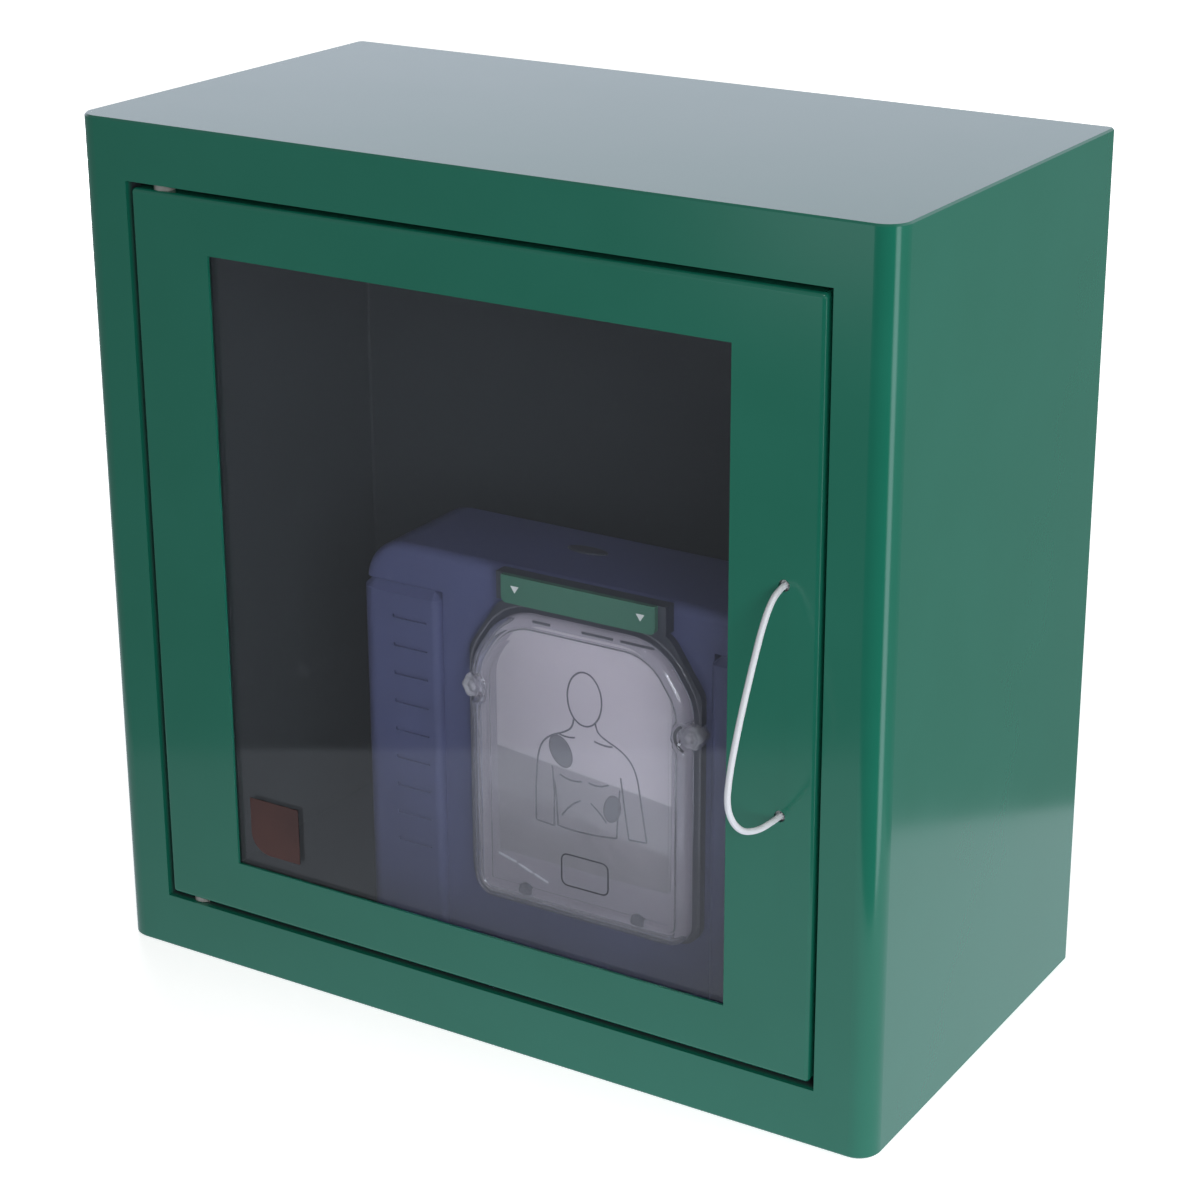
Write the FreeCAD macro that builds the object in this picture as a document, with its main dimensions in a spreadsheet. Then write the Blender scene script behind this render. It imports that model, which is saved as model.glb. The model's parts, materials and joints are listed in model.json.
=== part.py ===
import FreeCAD, Part
import Sketcher
import math
import os

# AED cabinet: a wall cabinet of folded and welded sheet steel with a hinged,
# glazed door, a cord pull and the defibrillator that stands inside it.
# Millimetres. Origin: centre of the base. +Z is up and the door faces -Y.

doc = FreeCAD.newDocument("aed_cabinet")
dims = doc.addObject("Spreadsheet::Sheet", "dims")

DRIVING = [
    ("cabinet_width", 380, "outside, left to right"),
    ("cabinet_depth", 200, "outside, front to back"),
    ("cabinet_height", 380, "outside, base to top"),
    ("sheet_steel", 1.2, "gauge of every cabinet and door panel"),
    ("corner_bend", 10, "outer radius of the two front upright bends"),
    ("rear_bend", 3, "outer radius of the two rear upright bends"),
    ("rear_flange", 18, "width of the flanges that carry the back panel"),
    ("weld_bevel", 0.8, "ground edge of the top and bottom panels"),
    ("frame_border", 25.5, "front border round the door opening"),
    ("stop_width", 12, "width of the lip that the door closes against"),
    ("stop_clearance", 1, "closed door to the lip"),
    ("wall_hole_spacing", 280, "fixing holes, across and up"),
    ("wall_hole_radius", 4, "fixing holes in the back panel"),
    ("door_gap", 2.5, "gap all round the door"),
    ("door_thickness", 15, "front face to the rear edge of the folded sides"),
    ("door_bend", 2, "outer radius of the folded door edges"),
    ("window_side", 39, "door border left and right of the window"),
    ("window_end", 24, "door border above and below the window"),
    ("pane_thickness", 3, "clear acrylic pane"),
    ("pane_overlap", 9, "pane hidden behind the door border"),
    ("pane_corner", 5, "corner radius of the pane"),
    ("clip_foot", 9, "foot of a pane clip, on the door"),
    ("clip_width", 12, "pane clip, along the border"),
    ("clip_reach", 5.5, "how far a clip laps over the pane"),
    ("clip_clearance", 0.4, "edge of the pane to the step of a clip"),
    ("stud_radius", 1.5, "welded stud through each clip"),
    ("stud_reach", 1.2, "end of a stud behind its nut"),
    ("nut_radius", 3.1, "nut across its corners, half"),
    ("nut_thickness", 2.4, "nut on each stud"),
    ("pivot_inset", 13.5, "hinge line from the door's left edge"),
    ("pivot_setback", 6, "hinge line behind the front face"),
    ("pin_radius", 3, "hinge pin"),
    ("pin_clearance", 0.05, "pin in its bush, on the radius"),
    ("pin_reach", 8, "pin below the edge of the door"),
    ("pin_head_radius", 4.5, "rivet head of the pin"),
    ("pin_head_thickness", 1.8, "rivet head of the pin"),
    ("bush_wall", 1, "nylon bush round the pin"),
    ("bush_depth", 3.6, "nylon bush inside the door"),
    ("bush_flange_radius", 4.5, "nylon washer in the door gap"),
    ("thrust_clearance", 0.3, "washer to the frame"),
    ("catch_height", 44, "magnet catch housing"),
    ("catch_width", 13, "magnet catch housing"),
    ("catch_depth", 14, "magnet catch housing"),
    ("pole_plate", 1.6, "steel pole plates of the catch"),
    ("pole_spacing", 6.5, "pole plates, centre to centre"),
    ("pole_inset", 5.5, "pole plates to the ends of the housing"),
    ("pole_depth", 7, "pole plates inside the housing"),
    ("pole_proud", 0.6, "pole plates in front of the housing"),
    ("catch_gap", 0.5, "pole plates to the strike plate"),
    ("strike_height", 36, "strike plate on the door"),
    ("strike_leg", 7.5, "strike plate, along the door's folded side"),
    ("bumper_radius", 3.5, "rubber dots on the stop lip"),
    ("bumper_thickness", 0.7, "rubber dots on the stop lip"),
    ("bumper_spread", 120, "rubber dots above and below the middle"),
    ("cord_diameter", 2.6, "braided pull cord"),
    ("cord_inset", 15.2, "cord holes from the door's right edge"),
    ("cord_hole_rise", 47, "upper cord hole above mid height"),
    ("cord_hole_drop", 48.5, "lower cord hole below mid height"),
    ("cord_hole_radius", 2.4, "holes for the cord"),
    ("knot_radius", 3.1, "knots behind the door"),
    ("knot_length", 5.6, "knots behind the door"),
    ("knot_setback", 3, "knots behind the door's front face"),
    ("sticker_width", 26, "blank corner label on the pane"),
    ("sticker_cut", 10, "curved corner of the label"),
    ("sticker_margin", 7.5, "label to the window edge"),
    ("label_film", 0.3, "thickness of printed labels"),
    ("device_width", 210, "defibrillator"),
    ("device_height", 190, "defibrillator"),
    ("device_depth", 61, "defibrillator without its cartridge"),
    ("device_setback", 65, "cabinet front to the device's front"),
    ("device_shift", 8.5, "device right of the cabinet's middle"),
    ("device_top_corner", 20, "rounded upper corners of the housing"),
    ("device_foot_corner", 10, "rounded lower corners of the housing"),
    ("device_edge", 5, "rounded front and rear edges"),
    ("device_seam", 30, "front half of the housing, front to seam"),
    ("grip_width", 42, "ribbed grip column"),
    ("grip_drop", 18, "grip column below the device's top"),
    ("grip_proud", 4, "grip column in front of the housing"),
    ("grip_round", 3.5, "rounded edges of the grip"),
    ("grip_wrap", 9, "how far the grip laps back round the housing's side"),
    ("grip_corner", 8, "outer upright edge of the grip"),
    ("groove_pitch", 13.5, "grooves up the grip"),
    ("groove_start", 49, "lowest groove above the device's base"),
    ("groove_stop", 12, "bare top of the grip"),
    ("groove_length", 18, "grooves across the grip"),
    ("groove_inset", 6, "grooves to the grip's inner side"),
    ("groove_width", 1.6, "grooves across the grip"),
    ("groove_depth", 1.0, "grooves across the grip"),
    ("cartridge_width", 109, "pads cartridge"),
    ("cartridge_base", 40, "cartridge above the device's base"),
    ("cartridge_drop", 16, "cartridge below the device's top"),
    ("cartridge_shift", 11.5, "cartridge right of the device's middle"),
    ("shoulder_drop", 25, "height of the slanted shoulders"),
    ("shoulder_inset", 16.5, "width of the slanted shoulders"),
    ("cartridge_corner", 10, "rounded corners of the cartridge"),
    ("tray_depth", 4, "opaque tray of the cartridge"),
    ("cover_depth", 6, "clear cover in front of the tray"),
    ("cover_wall", 1.4, "clear cover"),
    ("cover_bevel", 2.4, "slanted front edge of the cover"),
    ("tray_rim", 3.5, "tray wider than its cover, each side"),
    ("card_margin", 11, "card to the edge of the cartridge"),
    ("card_base", 19, "card above the bottom of the cartridge"),
    ("card_thickness", 0.6, "printed card"),
    ("latch_radius", 5.5, "round side latches"),
    ("latch_drop", 39, "latches below the cartridge's top"),
    ("latch_clearance", 0.3, "latches in their notches"),
    ("latch_depth", 9, "latches, front to back"),
    ("tab_width", 76, "green pull tab"),
    ("tab_height", 12.5, "green pull tab"),
    ("tab_thickness", 2.5, "green pull tab"),
    ("tab_lift", 4, "tab above the cartridge"),
    ("button_gap", 1.5, "cartridge and its latch to the button column"),
    ("button_radius", 8, "round buttons on the button column"),
    ("button_proud", 1.6, "round buttons on the button column"),
    ("button_end", 31, "outer buttons to the ends of the column"),
]

for row, (alias, value, meaning) in enumerate(DRIVING, start=1):
    dims.set(f"A{row}", alias)
    dims.set(f"B{row}", str(value))
    dims.set(f"C{row}", meaning)
    dims.setAlias(f"B{row}", alias)
doc.recompute()


def size(expression):
    """The number that an expression over the sheet gives now."""
    return float(dims.evalExpression(expression))


# Places worked out from the driving dimensions, as expressions over the sheet.
T = "dims.sheet_steel"
SIDE = "(dims.cabinet_width / 2)"
FRONT = "(-dims.cabinet_depth / 2)"
BACK = "(dims.cabinet_depth / 2)"
TOP = "dims.cabinet_height"
MIDDLE = "(dims.cabinet_height / 2)"
FRONT_INSIDE = f"({FRONT} + {T})"
OPENING_SIDE = f"({SIDE} - dims.frame_border)"
OPENING_FOOT = "dims.frame_border"
OPENING_HEAD = f"({TOP} - dims.frame_border)"
DOOR_SIDE = f"({OPENING_SIDE} - dims.door_gap)"
DOOR_FOOT = f"({OPENING_FOOT} + dims.door_gap)"
DOOR_HEAD = f"({OPENING_HEAD} - dims.door_gap)"
DOOR_REAR = f"({FRONT} + dims.door_thickness)"
WINDOW_SIDE = f"({DOOR_SIDE} - dims.window_side)"
WINDOW_FOOT = f"({DOOR_FOOT} + dims.window_end)"
WINDOW_HEAD = f"({DOOR_HEAD} - dims.window_end)"
PANE_REAR = f"({FRONT_INSIDE} + dims.pane_thickness)"
PIVOT_X = f"(-{DOOR_SIDE} + dims.pivot_inset)"
PIVOT_Y = f"({FRONT} + dims.pivot_setback)"
STOP_FRONT = f"({DOOR_REAR} + dims.stop_clearance)"
RETURN_REAR = f"({STOP_FRONT} + {T})"
CATCH_RIGHT = f"({OPENING_SIDE} - dims.stop_width - {T})"
CATCH_LEFT = f"({CATCH_RIGHT} - dims.catch_width)"
POLE_FRONT = f"({DOOR_REAR} + dims.catch_gap)"
CORD_X = f"({DOOR_SIDE} - dims.cord_inset)"
DEVICE_FOOT = T
DEVICE_HEAD = f"({T} + dims.device_height)"
DEVICE_FRONT = f"({FRONT} + dims.device_setback)"
DEVICE_X = "dims.device_shift"
DEVICE_LEFT = f"({DEVICE_X} - dims.device_width / 2)"
DEVICE_RIGHT = f"({DEVICE_X} + dims.device_width / 2)"
DEVICE_SEAM = f"({DEVICE_FRONT} + dims.device_seam)"
DEVICE_REAR = f"({DEVICE_FRONT} + dims.device_depth)"
CARTRIDGE_X = f"({DEVICE_X} + dims.cartridge_shift)"
CARTRIDGE_FOOT = f"({DEVICE_FOOT} + dims.cartridge_base)"
CARTRIDGE_HEAD = f"({DEVICE_HEAD} - dims.cartridge_drop)"
TRAY_FRONT = f"({DEVICE_FRONT} - dims.tray_depth)"
COVER_FRONT = f"({TRAY_FRONT} - dims.cover_depth)"
LATCH_Z = f"({CARTRIDGE_HEAD} - dims.latch_drop)"
GRIP_INNER = f"({DEVICE_LEFT} + dims.grip_width)"
BUTTON_INNER = (f"({CARTRIDGE_X} + dims.cartridge_width / 2"
                " + max(dims.tray_rim; dims.latch_radius) + dims.button_gap)")
COLUMN_FRONT = f"({DEVICE_FRONT} - dims.grip_proud)"
COLUMN_REAR = f"({DEVICE_FRONT} + dims.grip_wrap)"
COLUMN_HEAD = f"({DEVICE_HEAD} - dims.grip_drop)"
TAB_FOOT = f"({CARTRIDGE_HEAD} + dims.tab_lift)"
TAB_HEAD = f"({TAB_FOOT} + dims.tab_height)"

parts = []


def keep(thing, label):
    """Name a finished sub-part."""
    thing.Label = label
    parts.append(thing)
    return thing


def box(name, low, high):
    """A plate or block between two corners, each three expressions."""
    block = doc.addObject("Part::Box", name)
    for prop, axis, a, b in zip(("Length", "Width", "Height"), "xyz", low, high):
        block.setExpression(prop, f"{b} - ({a})")
        block.setExpression(f"Placement.Base.{axis}", a)
    return block


def bar(name, radius, start, length, across=False):
    """A round bar that runs up from start, or back along +Y when across."""
    rod = doc.addObject("Part::Cylinder", name)
    rod.setExpression("Radius", radius)
    rod.setExpression("Height", length)
    if across:
        rod.Placement.Rotation = FreeCAD.Rotation(FreeCAD.Vector(1, 0, 0), -90)
    for axis, place in zip("xyz", start):
        rod.setExpression(f"Placement.Base.{axis}", place)
    return rod


def drill(name, radius, place, across=False):
    """A bar that goes right through one sheet whose near face is at place."""
    x, y, z = place
    start = (x, f"{y} - {T}", z) if across else (x, y, f"{z} - {T}")
    return bar(name, radius, start, f"3 * {T}", across)


def cut(name, base, tool):
    result = doc.addObject("Part::Cut", name)
    result.Base = base
    result.Tool = tool
    return result


def fuse(name, shapes):
    result = doc.addObject("Part::MultiFuse", name)
    result.Shapes = shapes
    result.Refine = True
    return result


def group(name, shapes):
    """Like pieces that don't touch, in one sub-part."""
    result = doc.addObject("Part::Compound", name)
    result.Links = shapes
    return result


def outline(owner, name, plane, level, points):
    """A closed sketch through points, each a pair of expressions, on a plane
    of the body's origin that is lifted by level along its normal."""
    sketch = owner.newObject("Sketcher::SketchObject", name)
    origin = next(o for o in owner.Origin.OriginFeatures if o.Role == plane)
    sketch.AttachmentSupport = (origin, [""])
    sketch.MapMode = "FlatFace"
    sketch.setExpression("AttachmentOffset.Base.z", level)
    places = [FreeCAD.Vector(size(u), size(v), 0) for u, v in points]
    count = len(points)
    for i in range(count):
        sketch.addGeometry(Part.LineSegment(places[i], places[(i + 1) % count]))
    for i in range(count):
        sketch.addConstraint(Sketcher.Constraint("Coincident", i, 2, (i + 1) % count, 1))
    for i, (u, v) in enumerate(points):
        for kind, expression, value in (("DistanceX", u, places[i].x), ("DistanceY", v, places[i].y)):
            index = sketch.addConstraint(Sketcher.Constraint(kind, -1, 1, i, 1, value))
            sketch.setExpression(f"Constraints[{index}]", expression)
    return sketch


def pad(owner, name, plane, level, points, length):
    """Thicken an outline along the plane's normal: +Z on XY, -Y on XZ."""
    feature = owner.newObject("PartDesign::Pad", name)
    feature.Profile = outline(owner, f"{name}_outline", plane, level, points)
    feature.setExpression("Length", length)
    doc.recompute()
    return feature


def pocket(owner, name, plane, level, points, length, forward=True):
    """Cut an outline along the plane's normal, or against it."""
    feature = owner.newObject("PartDesign::Pocket", name)
    feature.Profile = outline(owner, f"{name}_outline", plane, level, points)
    feature.setExpression("Length", length)
    feature.Reversed = forward
    before = owner.Shape.Volume
    doc.recompute()
    if not feature.Shape.Volume < before:
        raise RuntimeError(f"{name} cuts nothing")
    return feature


def dressed(owner, name, kind, size_name, measure, wanted):
    """Dress the edges of the body's tip for which wanted(edge) is true."""
    tip = owner.Tip
    names = [f"Edge{i}" for i, e in enumerate(tip.Shape.Edges, start=1) if wanted(e)]
    if not names:
        raise RuntimeError(f"{name} finds no edge")
    feature = owner.newObject(kind, name)
    feature.Base = (tip, names)
    feature.setExpression(size_name, measure)
    doc.recompute()
    return feature


def rounded(owner, name, radius, wanted):
    return dressed(owner, name, "PartDesign::Fillet", "Radius", radius, wanted)


def bevelled(owner, name, width, wanted):
    return dressed(owner, name, "PartDesign::Chamfer", "Size", width, wanted)


def rectangle(left, right, low, high):
    return [(left, low), (right, low), (right, high), (left, high)]


def near(a, b):
    return abs(a - b) < 1e-4


def along(axis, **places):
    """A test for straight edges along an axis, at the places given."""
    spots = {letter: size(place) for letter, place in places.items()}

    def wanted(edge):
        start, end = edge.Vertexes[0].Point, edge.Vertexes[-1].Point
        run = (end - start).normalize() if (end - start).Length > 1e-6 else FreeCAD.Vector()
        if abs(getattr(run, axis)) < 0.999:
            return False
        return all(near(getattr(start, letter), spot) for letter, spot in spots.items())
    return wanted


def level_with(axis, place):
    """A test for every edge that lies in one plane across an axis."""
    spot = size(place)
    return lambda edge: all(near(getattr(v.Point, axis), spot) for v in edge.Vertexes)


# Cabinet: two folded sides, each with its half of the front border and a
# rear flange, closed by flat panels.
def side_wrap(label, hand):
    def x(expression):
        return f"({hand} * {expression})"

    owner = doc.addObject("PartDesign::Body", f"{label}_body")
    inside = f"({SIDE} - {T})"
    flange = f"({SIDE} - dims.rear_flange)"
    profile = [
        (x(OPENING_SIDE), FRONT), (x(SIDE), FRONT), (x(SIDE), BACK), (x(flange), BACK),
        (x(flange), f"{BACK} - {T}"), (x(inside), f"{BACK} - {T}"),
        (x(inside), FRONT_INSIDE), (x(OPENING_SIDE), FRONT_INSIDE),
    ]
    pad(owner, f"{label}_fold", "XY_Plane", T, profile, f"{TOP} - 2 * {T}")
    rounded(owner, f"{label}_front_bend", "dims.corner_bend", along("z", x=x(SIDE), y=FRONT))
    rounded(owner, f"{label}_front_bend_inside", f"dims.corner_bend - {T}",
            along("z", x=x(inside), y=FRONT_INSIDE))
    rounded(owner, f"{label}_rear_bend", "dims.rear_bend", along("z", x=x(SIDE), y=BACK))
    rounded(owner, f"{label}_rear_bend_inside", f"dims.rear_bend - {T}",
            along("z", x=x(inside), y=f"{BACK} - {T}"))
    return keep(owner, label)


def end_panel(label, low, face):
    """The top or bottom panel, with its welds ground flush round its outer face."""
    owner = doc.addObject("PartDesign::Body", f"{label}_body")
    plan = rectangle(f"-{SIDE}", SIDE, FRONT, BACK)
    pad(owner, f"{label}_plate", "XY_Plane", low, plan, T)
    rounded(owner, f"{label}_front_corners", "dims.corner_bend", along("z", y=FRONT))
    rounded(owner, f"{label}_rear_corners", "dims.rear_bend", along("z", y=BACK))
    bevelled(owner, f"{label}_weld", "dims.weld_bevel", level_with("z", face))
    return keep(owner, label)


side_wrap("left_wrap", -1)
side_wrap("right_wrap", 1)
end_panel("top_panel", f"{TOP} - {T}", TOP)
end_panel("bottom_panel", "0", "0")
keep(box("head_strip", (f"-{OPENING_SIDE}", FRONT, OPENING_HEAD),
         (OPENING_SIDE, FRONT_INSIDE, f"{TOP} - {T}")), "top_rail")
keep(box("foot_strip", (f"-{OPENING_SIDE}", FRONT, T),
         (OPENING_SIDE, FRONT_INSIDE, OPENING_FOOT)), "bottom_rail")


def back_panel():
    half = f"({SIDE} - dims.rear_bend)"
    rear = f"({BACK} - {T})"
    plate = box("back_plate", (f"-{half}", f"{rear} - {T}", T), (half, rear, f"{TOP} - {T}"))
    reach = "dims.wall_hole_spacing / 2"
    holes = []
    for across in (-1, 1):
        for up in (-1, 1):
            place = (f"{across} * {reach}", f"{rear} - {T}", f"{MIDDLE} + {up} * {reach}")
            holes.append(drill(f"wall_hole_{len(holes) + 1}", "dims.wall_hole_radius", place, across=True))
    keep(cut("back_plate_drilled", plate, group("wall_holes", holes)), "back_panel")


back_panel()


# Folds inside the door opening. The hinge pins are riveted through the top
# and bottom ones, and the right one carries the lip that stops the door.
def level_return(label, low):
    wide = f"({OPENING_SIDE} + {T})"
    plate = box(f"{label}_plate", (f"-{wide}", FRONT_INSIDE, low), (wide, RETURN_REAR, f"{low} + {T}"))
    hole = drill(f"{label}_hole", "dims.pin_radius", (PIVOT_X, PIVOT_Y, low))
    return keep(cut(f"{label}_drilled", plate, hole), label)


level_return("opening_return_top", OPENING_HEAD)
level_return("opening_return_bottom", f"({OPENING_FOOT} - {T})")
keep(box("left_return", (f"-{OPENING_SIDE} - {T}", FRONT_INSIDE, OPENING_FOOT),
         (f"-{OPENING_SIDE}", RETURN_REAR, OPENING_HEAD)), "opening_return_left")
keep(box("right_return", (OPENING_SIDE, FRONT_INSIDE, OPENING_FOOT),
         (f"{OPENING_SIDE} + {T}", RETURN_REAR, OPENING_HEAD)), "opening_return_right")
keep(box("lip", (f"{OPENING_SIDE} - dims.stop_width", STOP_FRONT, OPENING_FOOT),
         (OPENING_SIDE, RETURN_REAR, OPENING_HEAD)), "stop_lip")

dots = []
for up in (-1, 1):
    start = (f"{OPENING_SIDE} - dims.stop_width / 2", f"{STOP_FRONT} - dims.bumper_thickness",
             f"{MIDDLE} + {up} * dims.bumper_spread")
    dots.append(bar(f"dot_{len(dots) + 1}", "dims.bumper_radius", start, "dims.bumper_thickness",
                    across=True))
keep(group("dots", dots), "stop_bumpers")


# Hinges: headed pins through the frame, flanged nylon bushes in the door.
def hinge_pin(label, shank_low, shank_high, head_low):
    shank = bar(f"{label}_shank", "dims.pin_radius", (PIVOT_X, PIVOT_Y, shank_low),
                f"{shank_high} - ({shank_low})")
    head = bar(f"{label}_head", "dims.pin_head_radius", (PIVOT_X, PIVOT_Y, head_low),
               "dims.pin_head_thickness")
    return fuse(f"{label}_rivet", [shank, head])


def hinge_bush(label, barrel_low, washer_low):
    barrel = bar(f"{label}_barrel", "dims.pin_radius + dims.bush_wall", (PIVOT_X, PIVOT_Y, barrel_low),
                 "dims.bush_depth")
    washer = bar(f"{label}_washer", "dims.bush_flange_radius", (PIVOT_X, PIVOT_Y, washer_low),
                 "dims.door_gap - dims.thrust_clearance")
    bore = bar(f"{label}_bore", "dims.pin_radius + dims.pin_clearance",
               (PIVOT_X, PIVOT_Y, f"{barrel_low} - 2 * dims.door_gap"), "dims.bush_depth + 4 * dims.door_gap")
    return cut(f"{label}_turned", fuse(f"{label}_solid", [barrel, washer]), bore)


keep(group("pins", [
    hinge_pin("upper_pin", f"{DOOR_HEAD} - dims.pin_reach", f"{OPENING_HEAD} + {T}", f"{OPENING_HEAD} + {T}"),
    hinge_pin("lower_pin", f"{OPENING_FOOT} - {T}", f"{DOOR_FOOT} + dims.pin_reach",
              f"{OPENING_FOOT} - {T} - dims.pin_head_thickness"),
]), "hinge_pins")
keep(group("bushes", [
    hinge_bush("upper_bush", f"{DOOR_HEAD} - dims.bush_depth", DOOR_HEAD),
    hinge_bush("lower_bush", DOOR_FOOT, f"{OPENING_FOOT} + dims.thrust_clearance"),
]), "hinge_bushes")


# Magnet catch on an angle behind the lip, and its strike plate on the door.
def catch():
    low = f"({MIDDLE} - dims.catch_height / 2)"
    high = f"({MIDDLE} + dims.catch_height / 2)"
    front = f"({POLE_FRONT} + dims.pole_proud)"
    case = box("catch_case", (CATCH_LEFT, front, low), (CATCH_RIGHT, f"{front} + dims.catch_depth", high))
    plates = []
    for across in (-1, 1):
        centre = f"(({CATCH_LEFT} + {CATCH_RIGHT}) / 2 + {across} * dims.pole_spacing / 2)"
        plates.append(box(f"pole_{len(plates) + 1}",
                          (f"{centre} - dims.pole_plate / 2", POLE_FRONT, f"{low} + dims.pole_inset"),
                          (f"{centre} + dims.pole_plate / 2", f"{front} + dims.pole_depth",
                           f"{high} - dims.pole_inset")))
    poles = group("poles", plates)
    keep(cut("catch_case_slotted", case, poles), "catch_housing")
    keep(poles, "catch_poles")
    angle = doc.addObject("PartDesign::Body", "angle_body")
    profile = [
        (CATCH_RIGHT, RETURN_REAR), (f"{OPENING_SIDE} - {T}", RETURN_REAR),
        (f"{OPENING_SIDE} - {T}", f"{RETURN_REAR} + {T}"), (f"{CATCH_RIGHT} + {T}", f"{RETURN_REAR} + {T}"),
        (f"{CATCH_RIGHT} + {T}", f"{RETURN_REAR} + dims.catch_depth"),
        (CATCH_RIGHT, f"{RETURN_REAR} + dims.catch_depth"),
    ]
    pad(angle, "angle", "XY_Plane", low, profile, "dims.catch_height")
    keep(angle, "catch_bracket")


def strike_plate():
    inside = f"({DOOR_SIDE} - {T})"
    leg = f"({DOOR_REAR} - dims.strike_leg)"
    profile = [
        (CATCH_LEFT, f"{DOOR_REAR} - {T}"), (f"{inside} - {T}", f"{DOOR_REAR} - {T}"),
        (f"{inside} - {T}", leg), (inside, leg), (inside, DOOR_REAR), (CATCH_LEFT, DOOR_REAR),
    ]
    owner = doc.addObject("PartDesign::Body", "strike_body")
    pad(owner, "strike_fold", "XY_Plane", f"{MIDDLE} - dims.strike_height / 2", profile, "dims.strike_height")
    keep(owner, "strike_plate")


catch()
strike_plate()


# Door: a folded pan with a window, holes for the cord and for the bushes.
def door_panel():
    owner = doc.addObject("PartDesign::Body", "door_body")
    face = rectangle(f"-{DOOR_SIDE}", DOOR_SIDE, DOOR_FOOT, DOOR_HEAD)
    pad(owner, "door_block", "XZ_Plane", f"-{DOOR_REAR}", face, "dims.door_thickness")
    rounded(owner, "door_corners", "dims.door_bend", along("y"))
    rounded(owner, "door_front_folds", "dims.door_bend", level_with("y", FRONT))
    hollow = rectangle(f"-{DOOR_SIDE} + {T}", f"{DOOR_SIDE} - {T}",
                       f"{DOOR_FOOT} + {T}", f"{DOOR_HEAD} - {T}")
    pocket(owner, "door_hollow", "XZ_Plane", f"-{DOOR_REAR}", hollow, f"dims.door_thickness - {T}")
    window = rectangle(f"-{WINDOW_SIDE}", WINDOW_SIDE, WINDOW_FOOT, WINDOW_HEAD)
    pocket(owner, "door_window", "XZ_Plane", f"-{FRONT_INSIDE}", window, T)
    holes = []
    for place in (f"{MIDDLE} + dims.cord_hole_rise", f"{MIDDLE} - dims.cord_hole_drop"):
        holes.append(drill(f"cord_hole_{len(holes) + 1}", "dims.cord_hole_radius", (CORD_X, FRONT, place),
                           across=True))
    for low in (f"{DOOR_HEAD} - {T}", DOOR_FOOT):
        holes.append(drill(f"bush_hole_{len(holes) - 1}", "dims.pin_radius + dims.bush_wall",
                           (PIVOT_X, PIVOT_Y, low)))
    keep(cut("door_drilled", owner, group("door_holes", holes)), "door_panel")


def window_pane():
    owner = doc.addObject("PartDesign::Body", "pane_body")
    lap = "dims.pane_overlap"
    face = rectangle(f"-{WINDOW_SIDE} - {lap}", f"{WINDOW_SIDE} + {lap}",
                     f"{WINDOW_FOOT} - {lap}", f"{WINDOW_HEAD} + {lap}")
    pad(owner, "pane_plate", "XZ_Plane", f"-{PANE_REAR}", face, "dims.pane_thickness")
    rounded(owner, "pane_corners", "dims.pane_corner", along("y"))
    keep(owner, "window_pane")


def corner_label():
    owner = doc.addObject("PartDesign::Body", "label_body")
    left = f"(-{WINDOW_SIDE} + dims.sticker_margin)"
    low = f"({WINDOW_FOOT} + dims.sticker_margin)"
    face = rectangle(left, f"{left} + dims.sticker_width", low, f"{low} + dims.sticker_width")
    pad(owner, "label_film_pad", "XZ_Plane", f"-{FRONT_INSIDE}", face, "dims.label_film")
    rounded(owner, "label_cut_corner", "dims.sticker_cut", along("y", x=left, z=low))
    keep(owner, "corner_label")


door_panel()
window_pane()
corner_label()


# The pane is held by four stepped clips, one in the middle of each side. Each
# has its foot on the back of the door, on a welded stud with a nut.
def stepped_clip(name, edge, out, upright):
    """The clip over the pane's edge, which lies at edge and faces out along X,
    or along Z when upright. Gives the clip and the middle of its foot."""
    step = f"({edge} + {out} * dims.clip_clearance)"
    lip = f"({step} + {out} * {T})"
    toe = f"({lip} + {out} * dims.clip_foot)"
    levels = {
        "foot": (step, toe, FRONT_INSIDE, f"{FRONT_INSIDE} + {T}"),
        "riser": (step, lip, FRONT_INSIDE, f"{PANE_REAR} + {T}"),
        "lap": (f"({edge} - {out} * dims.clip_reach)", lip, PANE_REAR, f"{PANE_REAR} + {T}"),
    }
    blocks = []
    for level, (near_end, far_end, low, high) in levels.items():
        near_end, far_end = sorted((near_end, far_end), key=size)
        if upright:
            corners = (("-dims.clip_width / 2", low, near_end), ("dims.clip_width / 2", high, far_end))
        else:
            corners = ((near_end, low, f"{MIDDLE} - dims.clip_width / 2"),
                       (far_end, high, f"{MIDDLE} + dims.clip_width / 2"))
        blocks.append(box(f"{name}_{level}", *corners))
    return fuse(f"{name}_bent", blocks), f"(({lip} + {toe}) / 2)"


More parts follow.
